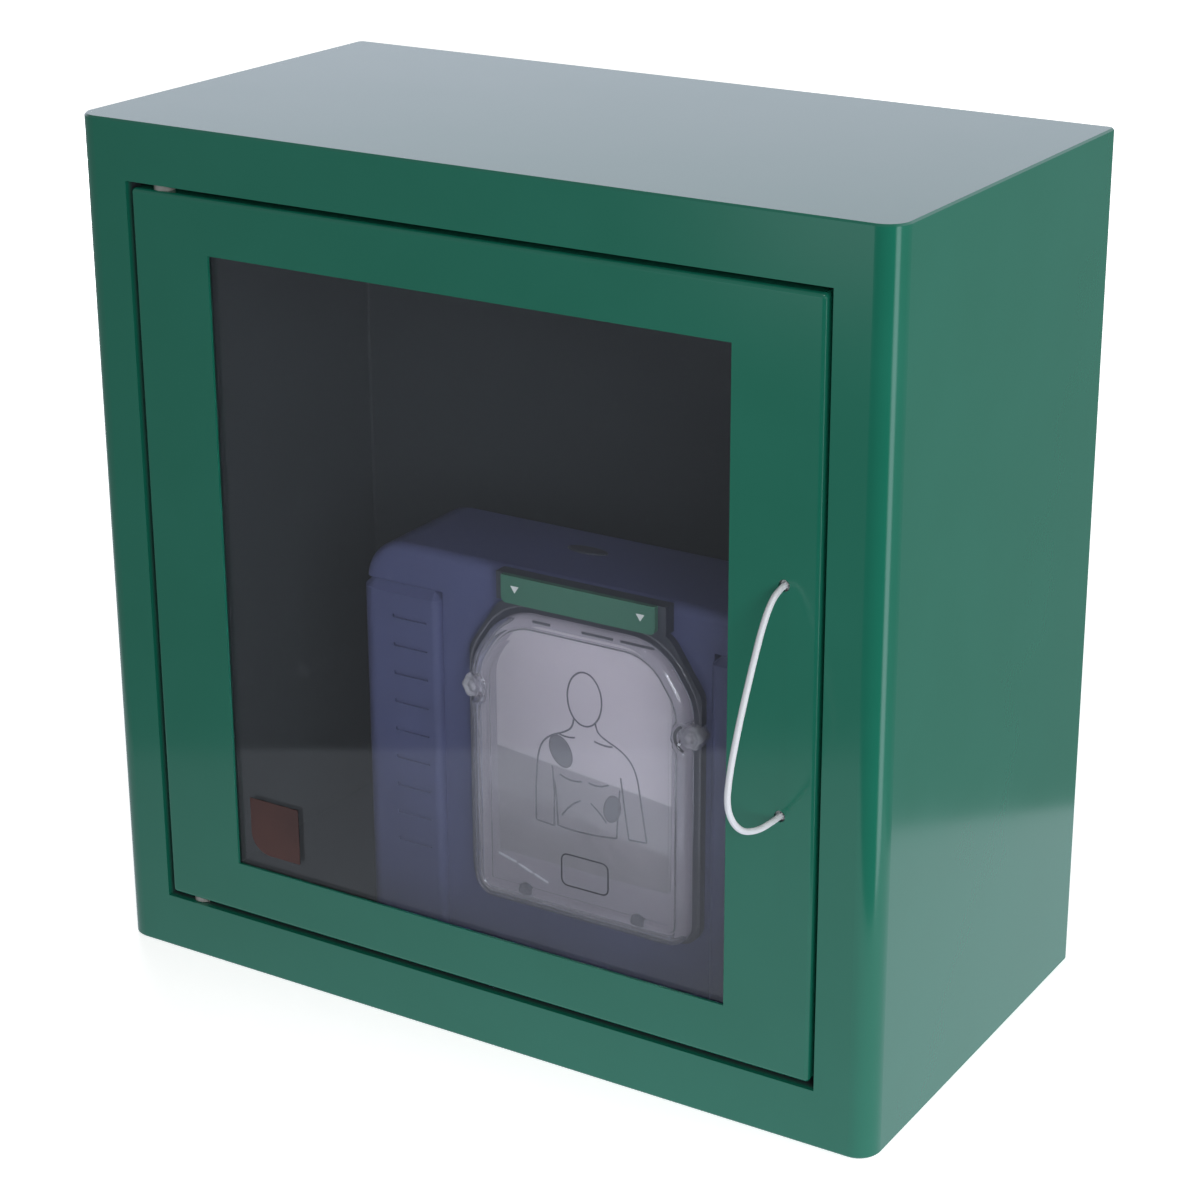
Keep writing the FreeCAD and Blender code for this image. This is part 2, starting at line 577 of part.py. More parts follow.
def pane_clips():
    lap = "dims.pane_overlap"
    edges = [(f"(-{WINDOW_SIDE} - {lap})", -1, False), (f"({WINDOW_SIDE} + {lap})", 1, False),
             (f"({WINDOW_FOOT} - {lap})", -1, True), (f"({WINDOW_HEAD} + {lap})", 1, True)]
    clips, studs, nuts = [], [], []
    for i, (edge, out, upright) in enumerate(edges, start=1):
        bent, foot = stepped_clip(f"clip_{i}", edge, out, upright)
        x, z = ("0", foot) if upright else (foot, MIDDLE)
        stud = bar(f"stud_{i}", "dims.stud_radius", (x, FRONT_INSIDE, z),
                   f"{T} + dims.nut_thickness + dims.stud_reach", across=True)
        hexagon = doc.addObject("Part::Prism", f"hexagon_{i}")
        hexagon.Polygon = 6
        hexagon.setExpression("Circumradius", "dims.nut_radius")
        hexagon.setExpression("Height", "dims.nut_thickness")
        hexagon.Placement.Rotation = FreeCAD.Rotation(FreeCAD.Vector(1, 0, 0), -90)
        for axis, place in zip("xyz", (x, f"{FRONT_INSIDE} + {T}", z)):
            hexagon.setExpression(f"Placement.Base.{axis}", place)
        studs.append(stud)
        clips.append(cut(f"clip_{i}", bent, stud))
        nuts.append(cut(f"nut_{i}", hexagon, stud))
    keep(group("all_clips", clips), "pane_clips")
    keep(group("all_studs", studs), "clip_studs")
    keep(group("all_nuts", nuts), "clip_nuts")


pane_clips()

# Pull cord, from the knot behind the upper hole to the knot behind the lower
# one. Each point is how far it stands out from the door, and its height over
# the middle of the cabinet. Twelve sides are enough for a cord this thin.
CORD_ROUTE = [
    (-3.0, 47.0), (5.5, 47.0), (14.5, 39.4), (23.0, 24.3), (33.0, 4.0), (40.5, -15.0),
    (42.5, -28.5), (32.5, -41.5), (18.0, -47.3), (5.0, -48.5), (-3.0, -48.5),
]
CORD_SIDES = 12
ARC_SHARE = 0.45


def pull_cord():
    points = [FreeCAD.Vector(size(CORD_X), size(FRONT) - out, size(MIDDLE) + up) for out, up in CORD_ROUTE]
    edges = []
    start = points[0]
    for before, corner, after in zip(points, points[1:], points[2:]):
        incoming = (corner - before).normalize()
        outgoing = (after - corner).normalize()
        turn = incoming.getAngle(outgoing)
        back = ARC_SHARE * min((corner - before).Length, (after - corner).Length)
        radius = back / math.tan(turn / 2)
        print(f"cord turn {math.degrees(turn):.0f} degrees, radius {radius:.1f}")
        first = corner - incoming * back
        last = corner + outgoing * back
        bisector = (outgoing - incoming).normalize()
        centre = corner + bisector * (radius / math.cos(turn / 2))
        edges.append(Part.LineSegment(start, first).toShape())
        edges.append(Part.Arc(first, centre - bisector * radius, last).toShape())
        start = last
    edges.append(Part.LineSegment(start, points[-1]).toShape())
    path = Part.Wire(edges)
    ring = Part.makeCircle(size("dims.cord_diameter / 2"), points[0], points[1] - points[0])
    section = Part.makePolygon(ring.discretize(CORD_SIDES + 1))
    tube = path.makePipeShell([section], True, False)
    expected = Part.Face(section).Area * path.Length
    print(f"cord length {path.Length:.1f}, volume {tube.Volume:.1f} of {expected:.1f}")
    cord = doc.addObject("Part::Feature", "cord_tube")
    cord.Shape = tube
    keep(cord, "handle_cord")
    knots = []
    for height in ("dims.cord_hole_rise", "(-dims.cord_hole_drop)"):
        start = (CORD_X, f"{FRONT} + dims.knot_setback", f"{MIDDLE} + {height}")
        knots.append(bar(f"knot_{len(knots) + 1}", "dims.knot_radius", start, "dims.knot_length",
                         across=True))
    keep(group("knots", knots), "cord_knots")


pull_cord()


# Defibrillator: a two-part housing with a ribbed grip and a button column,
# and a pads cartridge clipped to its front.
def housing_half(label, rear, depth):
    owner = doc.addObject("PartDesign::Body", f"{label}_body")
    face = rectangle(DEVICE_LEFT, DEVICE_RIGHT, DEVICE_FOOT, DEVICE_HEAD)
    pad(owner, f"{label}_block", "XZ_Plane", f"-{rear}", face, depth)
    rounded(owner, f"{label}_top_corners", "dims.device_top_corner", along("y", z=DEVICE_HEAD))
    rounded(owner, f"{label}_foot_corners", "dims.device_foot_corner", along("y", z=DEVICE_FOOT))
    return owner


def column(label, inner, outer):
    """A raised column that laps round the housing's side."""
    owner = doc.addObject("PartDesign::Body", f"{label}_body")
    left, right = sorted((inner, outer), key=size)
    pad(owner, f"{label}_block", "XZ_Plane", f"-{COLUMN_REAR}",
        rectangle(left, right, DEVICE_FOOT, COLUMN_HEAD), "dims.grip_proud + dims.grip_wrap")
    rounded(owner, f"{label}_foot_corner", "dims.device_foot_corner", along("y", x=outer, z=DEVICE_FOOT))
    rounded(owner, f"{label}_outer_edge", "dims.grip_corner", along("z", x=outer, y=COLUMN_FRONT))
    rounded(owner, f"{label}_inner_edge", "dims.grip_round", along("z", x=inner, y=COLUMN_FRONT))
    at_head, at_rear = level_with("z", COLUMN_HEAD), level_with("y", COLUMN_REAR)
    bevelled(owner, f"{label}_top_edge", "dims.grip_round", lambda edge: at_head(edge) and not at_rear(edge))
    return owner


def column_room(name, left, right):
    """The room in the housing for one column."""
    return box(name, (left, COLUMN_FRONT, f"{DEVICE_FOOT} - dims.grip_proud"),
               (right, COLUMN_REAR, COLUMN_HEAD))


def device_housing():
    front = housing_half("front_shell", DEVICE_SEAM, "dims.device_seam")
    rounded(front, "front_shell_edge", "dims.device_edge", level_with("y", DEVICE_FRONT))
    room = group("column_rooms", [
        column_room("grip_room", f"{DEVICE_LEFT} - dims.grip_proud", GRIP_INNER),
        column_room("button_room", BUTTON_INNER, f"{DEVICE_RIGHT} + dims.grip_proud"),
    ])
    keep(cut("front_shell_cut", front, room), "device_front_shell")
    back = housing_half("back_shell", DEVICE_REAR, "dims.device_depth - dims.device_seam")
    bevelled(back, "back_shell_edge", "dims.device_edge", level_with("y", DEVICE_REAR))
    keep(back, "device_back_shell")


def grip_column():
    grip = column("grip", GRIP_INNER, DEVICE_LEFT)
    low = f"({DEVICE_FOOT} + dims.groove_start)"
    right = f"({GRIP_INNER} - dims.groove_inset)"
    slot = rectangle(f"{right} - dims.groove_length", right, low, f"{low} + dims.groove_width")
    groove = pocket(grip, "groove", "XZ_Plane", f"-{COLUMN_FRONT}", slot, "dims.groove_depth", forward=False)
    rows = grip.newObject("PartDesign::LinearPattern", "grooves")
    rows.Originals = [groove]
    rows.Direction = (groove.Profile[0], ["V_Axis"])
    steps = f"floor(({COLUMN_HEAD} - {low} - dims.groove_stop) / dims.groove_pitch)"
    rows.setExpression("Occurrences", f"{steps} + 1")
    rows.setExpression("Length", f"dims.groove_pitch * {steps}")
    grip.Tip = rows
    keep(grip, "grip_column")


def button_column():
    keep(column("buttons", BUTTON_INNER, DEVICE_RIGHT), "button_column")
    # The buttons sit a little right of the column's middle.
    middle = f"(0.4 * {BUTTON_INNER} + 0.6 * {DEVICE_RIGHT})"
    face = f"({COLUMN_FRONT} - dims.button_proud)"
    heights = {
        "power_button": f"{COLUMN_HEAD} - dims.button_end",
        "info_button": f"({DEVICE_FOOT} + {COLUMN_HEAD}) / 2",
        "shock_button": f"{DEVICE_FOOT} + dims.button_end",
    }
    for label, height in heights.items():
        keep(bar(f"{label}_disc", "dims.button_radius", (middle, face, height), "dims.button_proud",
                 across=True), label)


def cartridge_outline(grow):
    """The cartridge seen from the front, grown outwards by an expression."""
    half = f"(dims.cartridge_width / 2 + {grow})"
    neck = f"({half} - dims.shoulder_inset)"
    foot = f"({CARTRIDGE_FOOT} - {grow})"
    head = f"({CARTRIDGE_HEAD} + {grow})"
    shoulder = f"({head} - dims.shoulder_drop)"
    x = CARTRIDGE_X
    return [(f"{x} - {half}", foot), (f"{x} + {half}", foot), (f"{x} + {half}", shoulder),
            (f"{x} + {neck}", head), (f"{x} - {neck}", head), (f"{x} - {half}", shoulder)]


def latch_places():
    reach = "dims.cartridge_width / 2"
    return [(f"{CARTRIDGE_X} - {reach}", "left"), (f"{CARTRIDGE_X} + {reach}", "right")]


def cartridge():
    rooms = []
    for x, hand in latch_places():
        rooms.append(bar(f"latch_room_{hand}", "dims.latch_radius + dims.latch_clearance",
                         (x, f"{COVER_FRONT} - dims.cover_depth", LATCH_Z),
                         "2 * dims.cover_depth + dims.tray_depth", across=True))
    room = group("latch_rooms", rooms)

    tray = doc.addObject("PartDesign::Body", "tray_body")
    pad(tray, "tray_plate", "XZ_Plane", f"-{DEVICE_FRONT}", cartridge_outline("dims.tray_rim"),
        "dims.tray_depth")
    rounded(tray, "tray_corners", "dims.cartridge_corner", along("y"))
    keep(cut("tray_notched", tray, room), "cartridge_tray")

    cover = doc.addObject("PartDesign::Body", "cover_body")
    pad(cover, "cover_block", "XZ_Plane", f"-{TRAY_FRONT}", cartridge_outline("0"), "dims.cover_depth")
    rounded(cover, "cover_corners", "dims.cartridge_corner", along("y"))
    bevelled(cover, "cover_front_edge", "dims.cover_bevel", level_with("y", COVER_FRONT))
    pocket(cover, "cover_hollow", "XZ_Plane", f"-{TRAY_FRONT}", cartridge_outline("(-dims.cover_wall)"),
           "dims.cover_depth - dims.cover_wall")
    keep(cut("cover_notched", cover, room), "cartridge_cover")

    card = doc.addObject("PartDesign::Body", "card_body")
    sheet = cartridge_outline("(-dims.card_margin)")
    base = f"({CARTRIDGE_FOOT} + dims.card_base)"
    sheet = [(sheet[0][0], base), (sheet[1][0], base)] + sheet[2:]
    pad(card, "card_sheet", "XZ_Plane", f"-{TRAY_FRONT}", sheet, "dims.card_thickness")
    keep(card, "pads_card")

    knobs = [bar(f"latch_{hand}", "dims.latch_radius", (x, f"{DEVICE_FRONT} - dims.latch_depth", LATCH_Z),
                 "dims.latch_depth", across=True) for x, hand in latch_places()]
    keep(group("latches", knobs), "cartridge_latches")


def pull_tab():
    half = "(dims.tab_width / 2)"
    front = f"({COVER_FRONT} + {T})"
    rear = f"({front} + dims.tab_thickness)"
    owner = doc.addObject("PartDesign::Body", "tab_body")
    face = rectangle(f"{CARTRIDGE_X} - {half}", f"{CARTRIDGE_X} + {half}", TAB_FOOT, TAB_HEAD)
    pad(owner, "tab_plate", "XZ_Plane", f"-({rear})", face, "dims.tab_thickness")
    rounded(owner, "tab_corners", "dims.tab_thickness", along("y", z=TAB_FOOT))
    keep(owner, "pull_tab")
    wide = f"({half} + dims.tab_lift)"
    keep(box("carrier", (f"{CARTRIDGE_X} - {wide}", rear, TAB_FOOT),
             (f"{CARTRIDGE_X} + {wide}", DEVICE_FRONT, TAB_HEAD)), "tab_carrier")


device_housing()
grip_column()
button_column()
cartridge()
pull_tab()

doc.recompute()
for thing in doc.Objects:
    if "Invalid" in thing.State or "Error" in thing.State:
        raise RuntimeError(f"{thing.Label} failed: {thing.State}")
for part in parts:
    if part.Shape.isNull() or not part.Shape.isValid() or not part.Shape.Solids:
        raise RuntimeError(f"{part.Label} has no valid shape")

os.makedirs("parts", exist_ok=True)
for part in parts:
    part.Shape.exportStep(f"parts/{part.Label}.step")
print(len(parts), "sub-parts")
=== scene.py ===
# Wall cabinet for a defibrillator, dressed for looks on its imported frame.
# Lengths are metres. MM turns millimetres into them.
import json
import math

import bpy
from mathutils import Matrix, Vector


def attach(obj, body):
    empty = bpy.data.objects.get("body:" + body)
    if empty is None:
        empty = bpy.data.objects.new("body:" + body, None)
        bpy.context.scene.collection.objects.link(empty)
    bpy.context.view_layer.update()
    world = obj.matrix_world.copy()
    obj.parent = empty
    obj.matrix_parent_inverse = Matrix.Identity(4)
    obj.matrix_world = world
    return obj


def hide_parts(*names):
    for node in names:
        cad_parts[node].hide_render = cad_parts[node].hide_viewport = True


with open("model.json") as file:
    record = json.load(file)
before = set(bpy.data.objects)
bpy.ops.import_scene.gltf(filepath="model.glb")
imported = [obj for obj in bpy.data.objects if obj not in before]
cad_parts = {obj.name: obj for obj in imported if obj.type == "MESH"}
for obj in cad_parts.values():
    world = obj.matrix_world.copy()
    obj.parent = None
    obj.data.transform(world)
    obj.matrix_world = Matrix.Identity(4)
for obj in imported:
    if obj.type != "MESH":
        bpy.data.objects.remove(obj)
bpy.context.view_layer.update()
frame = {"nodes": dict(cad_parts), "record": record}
nodes = frame["nodes"]
MM = 0.001

# The cabinet's main lengths in mm, which the painted inside shade, the cord and the table go by
HALF_WIDTH = 190
HALF_DEPTH = 100
MID_HEIGHT = 190
FRONT_BEND = 10
SHEET = 1.2


# Small helpers

def linear(hex_code):
    """An sRGB hex value as a linear colour with alpha."""
    channels = [int(hex_code[i:i + 2], 16) / 255 for i in (1, 3, 5)]
    return [c / 12.92 if c <= 0.04045 else ((c + 0.055) / 1.055) ** 2.4 for c in channels] + [1.0]


def add(tree, kind, settings=(), links=()):
    """Add a node. Lower-case settings are its options, others its sockets, and links feed its sockets."""
    node = tree.nodes.new("ShaderNode" + kind)
    for key, value in dict(settings).items():
        if isinstance(key, str) and key.islower():
            setattr(node, key, value)
        else:
            node.inputs[key].default_value = value
    for key, output in dict(links).items():
        tree.links.new(output, node.inputs[key])
    return node


def start_material(name):
    """A new material and its empty node tree."""
    material = bpy.data.materials.new(name)
    material.use_nodes = True
    material.node_tree.nodes.clear()
    return material, material.node_tree


def add_mesh(name, points, faces, material):
    """A smooth-shaded mesh object whose points are in the part's frame."""
    mesh = bpy.data.meshes.new(name)
    mesh.from_pydata(points, [], faces)
    mesh.materials.append(material)
    mesh.polygons.foreach_set("use_smooth", [True] * len(mesh.polygons))
    piece = bpy.data.objects.new(name, mesh)
    bpy.context.scene.collection.objects.link(piece)
    return piece


def place(piece, body, slot, *replaced):
    """Hang a piece on a body and hide the nodes that it stands for. The slot is not used."""
    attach(piece, body)
    if replaced:
        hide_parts(*replaced)
    return piece


def skin(rings, closed=False):
    """Points and faces of a surface through rings of equal count, capped unless it closes on itself."""
    count = len(rings[0])
    points = [point for ring in rings for point in ring]
    faces = []
    last = len(rings) if closed else len(rings) - 1
    for row in range(last):
        here = row * count
        there = (row + 1) % len(rings) * count
        for i in range(count):
            j = (i + 1) % count
            faces.append((here + i, here + j, there + j, there + i))
    if not closed:
        faces.append(tuple(range(count))[::-1])
        faces.append(tuple(range(len(points) - count, len(points))))
    return points, faces


def turned(profile, x, z, count, lobes=0):
    """Rings round an axis along Y at x, z, lobed if asked. The profile is (radius, y) pairs in mm."""
    rings = []
    for radius, y in profile:
        ring = []
        for i in range(count):
            angle = 2 * math.pi * i / count
            reach = radius * MM * (1 + 0.06 * math.cos(lobes * angle) if lobes else 1)
            ring.append((x + reach * math.cos(angle), y * MM, z + reach * math.sin(angle)))
        rings.append(ring)
    return rings


# Materials

def powder_coat_on_steel(name, painted_inside_shade):
    """Gloss polyester powder coat on folded sheet steel: one even colour, a clear gloss, orange peel."""
    material, tree = start_material(name)
    where = add(tree, "TexCoord").outputs["Object"]
    # Orange peel is a ripple of about 2.4 mm, some thousandths of a millimetre high.
    peel = add(tree, "TexNoise", {"Scale": 1 / (2.4 * MM), "Detail": 1.0}, {"Vector": where})
    # Cloudy places of about 40 mm are handled smoother or duller.
    cloud = add(tree, "TexNoise", {"Scale": 1 / (40 * MM), "Detail": 3.0}, {"Vector": where})
    gloss = add(tree, "MapRange", {"To Min": 0.13, "To Max": 0.19}, {"Value": cloud.outputs["Fac"]})
    shade = add(tree, "Mix", {"data_type": "RGBA", 6: linear("#136651"), 7: linear("#1A6C58")},
                {0: cloud.outputs["Fac"]})
    ripple = add(tree, "Bump", {"Strength": 1.0, "Distance": 0.008 * MM}, {"Height": peel.outputs["Fac"]})
    coat = add(tree, "BsdfPrincipled", {"IOR": 1.5, "Coat Weight": 0.25, "Coat Roughness": 0.1},
               {"Base Color": shade.outputs[2], "Roughness": gloss.outputs["Result"],
                "Normal": ripple.outputs["Normal"]})
    if painted_inside_shade:
        # Painted shade: the inside of the box is painted near black and dull, for the shade that fills it:
        # all that lies inside the middle of the sheet, round the bends too, and more than 3 mm behind the
        # front.
        straight_side = (HALF_WIDTH - FRONT_BEND) * MM
        straight_front = (HALF_DEPTH - FRONT_BEND) * MM
        low = add(tree, "VectorMath", {"operation": "SUBTRACT", 1: (0.0, 0.0, MID_HEIGHT * MM)}, {0: where})
        reach = add(tree, "VectorMath", {"operation": "ABSOLUTE"}, {0: low.outputs["Vector"]})
        half = add(tree, "SeparateXYZ", {}, {"Vector": reach.outputs["Vector"]})
        depth = add(tree, "SeparateXYZ", {}, {"Vector": where}).outputs["Y"]
        past_side = add(tree, "Math", {"operation": "SUBTRACT", "use_clamp": True, 1: straight_side},
                        {0: half.outputs["X"]})
        past_front = add(tree, "Math", {"operation": "MULTIPLY_ADD", "use_clamp": True, 1: -1.0,
                                        2: -straight_front}, {0: depth})
        past_bend = add(tree, "CombineXYZ", {}, {"X": past_side.outputs["Value"],
                                                 "Y": past_front.outputs["Value"]})
        round_bend = add(tree, "VectorMath", {"operation": "LENGTH"}, {0: past_bend.outputs["Vector"]})
        past_head = add(tree, "Math", {"operation": "SUBTRACT", 1: straight_side}, {0: half.outputs["Z"]})
        past_wall = add(tree, "Math", {"operation": "MAXIMUM"}, {0: round_bend.outputs["Value"],
                                                                 1: past_head.outputs["Value"]})
        on_wall = add(tree, "MapRange", {"From Min": (FRONT_BEND - 0.9) * MM,
                                         "From Max": (FRONT_BEND - 0.7) * MM},
                      {"Value": past_wall.outputs["Value"]})
        # The back panel lies inside the flanges, which show from the inside past its edges only.
        past_panel = add(tree, "Math", {"operation": "GREATER_THAN", 1: (HALF_WIDTH - 3.1) * MM},
                         {0: half.outputs["X"]})
        flange_step = add(tree, "Math", {"operation": "MULTIPLY_ADD", 1: SHEET * MM,
                                         2: (HALF_DEPTH - 1.9) * MM}, {0: past_panel.outputs["Value"]})
        on_back = add(tree, "Math", {"operation": "GREATER_THAN"}, {0: depth,
                                                                    1: flange_step.outputs["Value"]})
        on_front = add(tree, "MapRange", {"From Min": (4.5 - HALF_DEPTH) * MM,
                                          "From Max": (1.2 - HALF_DEPTH) * MM}, {"Value": depth})
        ends = add(tree, "Math", {"operation": "MAXIMUM"}, {0: on_back.outputs["Value"],
                                                            1: on_front.outputs["Result"]})
        outside = add(tree, "Math", {"operation": "MAXIMUM"}, {0: on_wall.outputs["Result"],
                                                               1: ends.outputs["Value"]})
        coat_or_painted_shade = add(tree, "Mix", {"data_type": "RGBA", 6: linear("#343A3E")},
                      {0: outside.outputs["Value"], 7: shade.outputs[2]})
        dull = add(tree, "Mix", {2: 0.6}, {0: outside.outputs["Value"], 3: gloss.outputs["Result"]})
        tree.links.new(coat_or_painted_shade.outputs[2], coat.inputs["Base Color"])
        tree.links.new(dull.outputs[0], coat.inputs["Roughness"])
    add(tree, "OutputMaterial", links={"Surface": coat.outputs["BSDF"]})
    return material


def let_lamps_through(tree, solid, tint):
    """End a clear material: lamp light passes straight through it, as it does through a thin clear sheet."""
    passing = add(tree, "BsdfTransparent", {"Color": linear(tint)})
    rays = add(tree, "LightPath")
    both = add(tree, "MixShader", {}, {0: rays.outputs["Is Shadow Ray"], 1: solid.outputs["BSDF"],
                                       2: passing.outputs["BSDF"]})
    add(tree, "OutputMaterial", links={"Surface": both.outputs["Shader"]})


def cast_acrylic_pane():
    """Cast acrylic sheet: clear and hard-polished, so it mirrors the pale table over a dark inside."""
    material, tree = start_material("cast_acrylic_clear")
    where = add(tree, "TexCoord").outputs["Object"]
    # Wiping leaves soft smears some 30 mm long.
    smear = add(tree, "TexNoise", {"Scale": 1 / (30 * MM), "Detail": 4.0, "Distortion": 0.6},
                {"Vector": where})
    polish = add(tree, "MapRange", {"From Min": 0.45, "From Max": 0.75, "To Min": 0.0, "To Max": 0.05},
                 {"Value": smear.outputs["Fac"]})
    sheet = add(tree, "BsdfPrincipled",
                {"Base Color": linear("#F4F6F8"), "IOR": 1.49, "Transmission Weight": 1.0},
                {"Roughness": polish.outputs["Result"]})
    let_lamps_through(tree, sheet, "#EDEFF0")
    return material


def moulded_clear_plastic(name, clearness):
    """Injection-moulded clear copolyester with faint flow ripples, the milkier the less clear it is."""
    material, tree = start_material(name)
    where = add(tree, "TexCoord").outputs["Object"]
    # Flow lines from the mould are some 9 mm apart.
    flow = add(tree, "TexNoise", {"Scale": 1 / (9 * MM), "Detail": 1.0}, {"Vector": where})
    ripple = add(tree, "Bump", {"Strength": 1.0, "Distance": 0.05 * MM}, {"Height": flow.outputs["Fac"]})
    shell = add(tree, "BsdfPrincipled",
                {"Base Color": linear("#F1EFF6"), "IOR": 1.57, "Roughness": 0.03,
                 "Transmission Weight": clearness},
                {"Normal": ripple.outputs["Normal"]})
    let_lamps_through(tree, shell, "#E4E2EA")
    return material


def zinc_plated_steel():
    """Zinc-plated and passivated steel: a grey metal, clouded and slightly roughened by its crystals."""
    material, tree = start_material("zinc_plated_steel")
    where = add(tree, "TexCoord").outputs["Object"]
    # Zinc crystals cloud the surface about every 3 mm.
    cloud = add(tree, "TexNoise", {"Scale": 1 / (3 * MM), "Detail": 4.0}, {"Vector": where})
    shade = add(tree, "Mix", {"data_type": "RGBA", 6: linear("#A2A4A8"), 7: linear("#C4C6CA")},
                {0: cloud.outputs["Fac"]})
    gloss = add(tree, "MapRange", {"To Min": 0.28, "To Max": 0.42}, {"Value": cloud.outputs["Fac"]})
    ripple = add(tree, "Bump", {"Strength": 1.0, "Distance": 0.01 * MM}, {"Height": cloud.outputs["Fac"]})
    metal = add(tree, "BsdfPrincipled", {"Metallic": 1.0},
                {"Base Color": shade.outputs[2], "Roughness": gloss.outputs["Result"],
                 "Normal": ripple.outputs["Normal"]})
    add(tree, "OutputMaterial", links={"Surface": metal.outputs["BSDF"]})
    return material


def moulded_plastic(name, dark, pale, grain_mm, grain_height_mm, roughness):
    """A moulded thermoplastic: the tool's spark-eroded grain, and a colour that clouds slightly."""
    material, tree = start_material(name)
    where = add(tree, "TexCoord").outputs["Object"]
    grain = add(tree, "TexVoronoi", {"Scale": 1 / (grain_mm * MM)}, {"Vector": where})
    cloud = add(tree, "TexNoise", {"Scale": 1 / (25 * MM), "Detail": 3.0}, {"Vector": where})
    shade = add(tree, "Mix", {"data_type": "RGBA", 6: linear(dark), 7: linear(pale)},
                {0: cloud.outputs["Fac"]})
    gloss = add(tree, "MapRange", {"To Min": roughness - 0.06, "To Max": roughness + 0.06},
                {"Value": cloud.outputs["Fac"]})
    relief = add(tree, "Bump", {"Strength": 1.0, "Distance": grain_height_mm * MM},
                 {"Height": grain.outputs["Distance"]})
    plastic = add(tree, "BsdfPrincipled", {"IOR": 1.5},
                  {"Base Color": shade.outputs[2], "Roughness": gloss.outputs["Result"],
                   "Normal": relief.outputs["Normal"]})
    add(tree, "OutputMaterial", links={"Surface": plastic.outputs["BSDF"]})
    return material


def tinted_polycarbonate(name, deep, bright):
    """Moulded tinted polycarbonate of a button: gloss, slightly translucent, its tint a little uneven."""
    material, tree = start_material(name)
    where = add(tree, "TexCoord").outputs["Object"]
    speckle = add(tree, "TexNoise", {"Scale": 1 / (4 * MM), "Detail": 2.0}, {"Vector": where})
    shade = add(tree, "Mix", {"data_type": "RGBA", 6: linear(deep), 7: linear(bright)},
                {0: speckle.outputs["Fac"]})
    gloss = add(tree, "MapRange", {"To Min": 0.12, "To Max": 0.2}, {"Value": speckle.outputs["Fac"]})
    lens = add(tree, "BsdfPrincipled", {"IOR": 1.58, "Subsurface Weight": 0.3, "Subsurface Scale": 1 * MM},
               {"Base Color": shade.outputs[2], "Roughness": gloss.outputs["Result"]})
    add(tree, "OutputMaterial", links={"Surface": lens.outputs["BSDF"]})
    return material


def braided_polyester():
    """Braided polyester cord: white and dull, with loose filaments. Its strands are in the mesh."""
    material, tree = start_material("braided_polyester_white")
    where = add(tree, "TexCoord").outputs["Object"]
    # Loose filaments are drawn 0.25 mm wide, coarser than real ones so that they show.
    fuzz = add(tree, "TexNoise", {"Scale": 1 / (0.25 * MM), "Detail": 2.0}, {"Vector": where})
    shade = add(tree, "Mix", {"data_type": "RGBA", 6: linear("#C4C7CE"), 7: linear("#ECEEF2")},
                {0: fuzz.outputs["Fac"]})
    relief = add(tree, "Bump", {"Strength": 1.0, "Distance": 0.06 * MM}, {"Height": fuzz.outputs["Fac"]})
    fibre = add(tree, "BsdfPrincipled", {"Roughness": 0.8, "Sheen Weight": 0.25, "Sheen Roughness": 0.5},
                {"Base Color": shade.outputs[2], "Normal": relief.outputs["Normal"]})
    add(tree, "OutputMaterial", links={"Surface": fibre.outputs["BSDF"]})
    return material


def card_with_painted_shadow():
    """Coated silver-grey card with a satin gloss: pale above, darker below as a painted shadow."""
    material, tree = start_material("coated_card_silver")
    where = add(tree, "TexCoord").outputs["Object"]
    # Painted shadow: the card is darker below a line at 106 mm, which falls 1 mm in 10 to the right.
    part = add(tree, "SeparateXYZ", {}, {"Vector": where})
    slope = add(tree, "Math", {"operation": "MULTIPLY_ADD", 1: 0.1}, {0: part.outputs["X"],
                                                                     2: part.outputs["Z"]})
    upper = add(tree, "MapRange", {"From Min": 107.5 * MM, "From Max": 108.5 * MM},
                {"Value": slope.outputs["Value"]})
    # Paper fibres are drawn 0.8 mm long.
    fibre = add(tree, "TexNoise", {"Scale": 1 / (0.8 * MM), "Detail": 3.0}, {"Vector": where})
    tone_with_painted_shadow = add(tree, "Mix", {"data_type": "RGBA", 6: linear("#A4A09E"), 7: linear("#E0D9D7")},
                     {0: upper.outputs["Result"]})
    shade = add(tree, "Mix", {"data_type": "RGBA", "blend_type": "SOFT_LIGHT", 0: 0.12},
                {6: tone_with_painted_shadow.outputs[2], 7: fibre.outputs["Color"]})
    gloss = add(tree, "MapRange", {"To Min": 0.32, "To Max": 0.42}, {"Value": fibre.outputs["Fac"]})
    card = add(tree, "BsdfPrincipled", {"IOR": 1.5},
               {"Base Color": shade.outputs[2], "Roughness": gloss.outputs["Result"]})
    add(tree, "OutputMaterial", links={"Surface": card.outputs["BSDF"]})
    return material


def ink(name, colour):
    """Screen-printed ink: flat, matt, slightly uneven where it soaked in."""
    material, tree = start_material(name)
    where = add(tree, "TexCoord").outputs["Object"]
    soak = add(tree, "TexNoise", {"Scale": 1 / (0.6 * MM), "Detail": 2.0}, {"Vector": where})
    gloss = add(tree, "MapRange", {"To Min": 0.5, "To Max": 0.7}, {"Value": soak.outputs["Fac"]})
    print_coat = add(tree, "BsdfPrincipled", {"Base Color": linear(colour)},
                     {"Roughness": gloss.outputs["Result"]})
    add(tree, "OutputMaterial", links={"Surface": print_coat.outputs["BSDF"]})
    return material


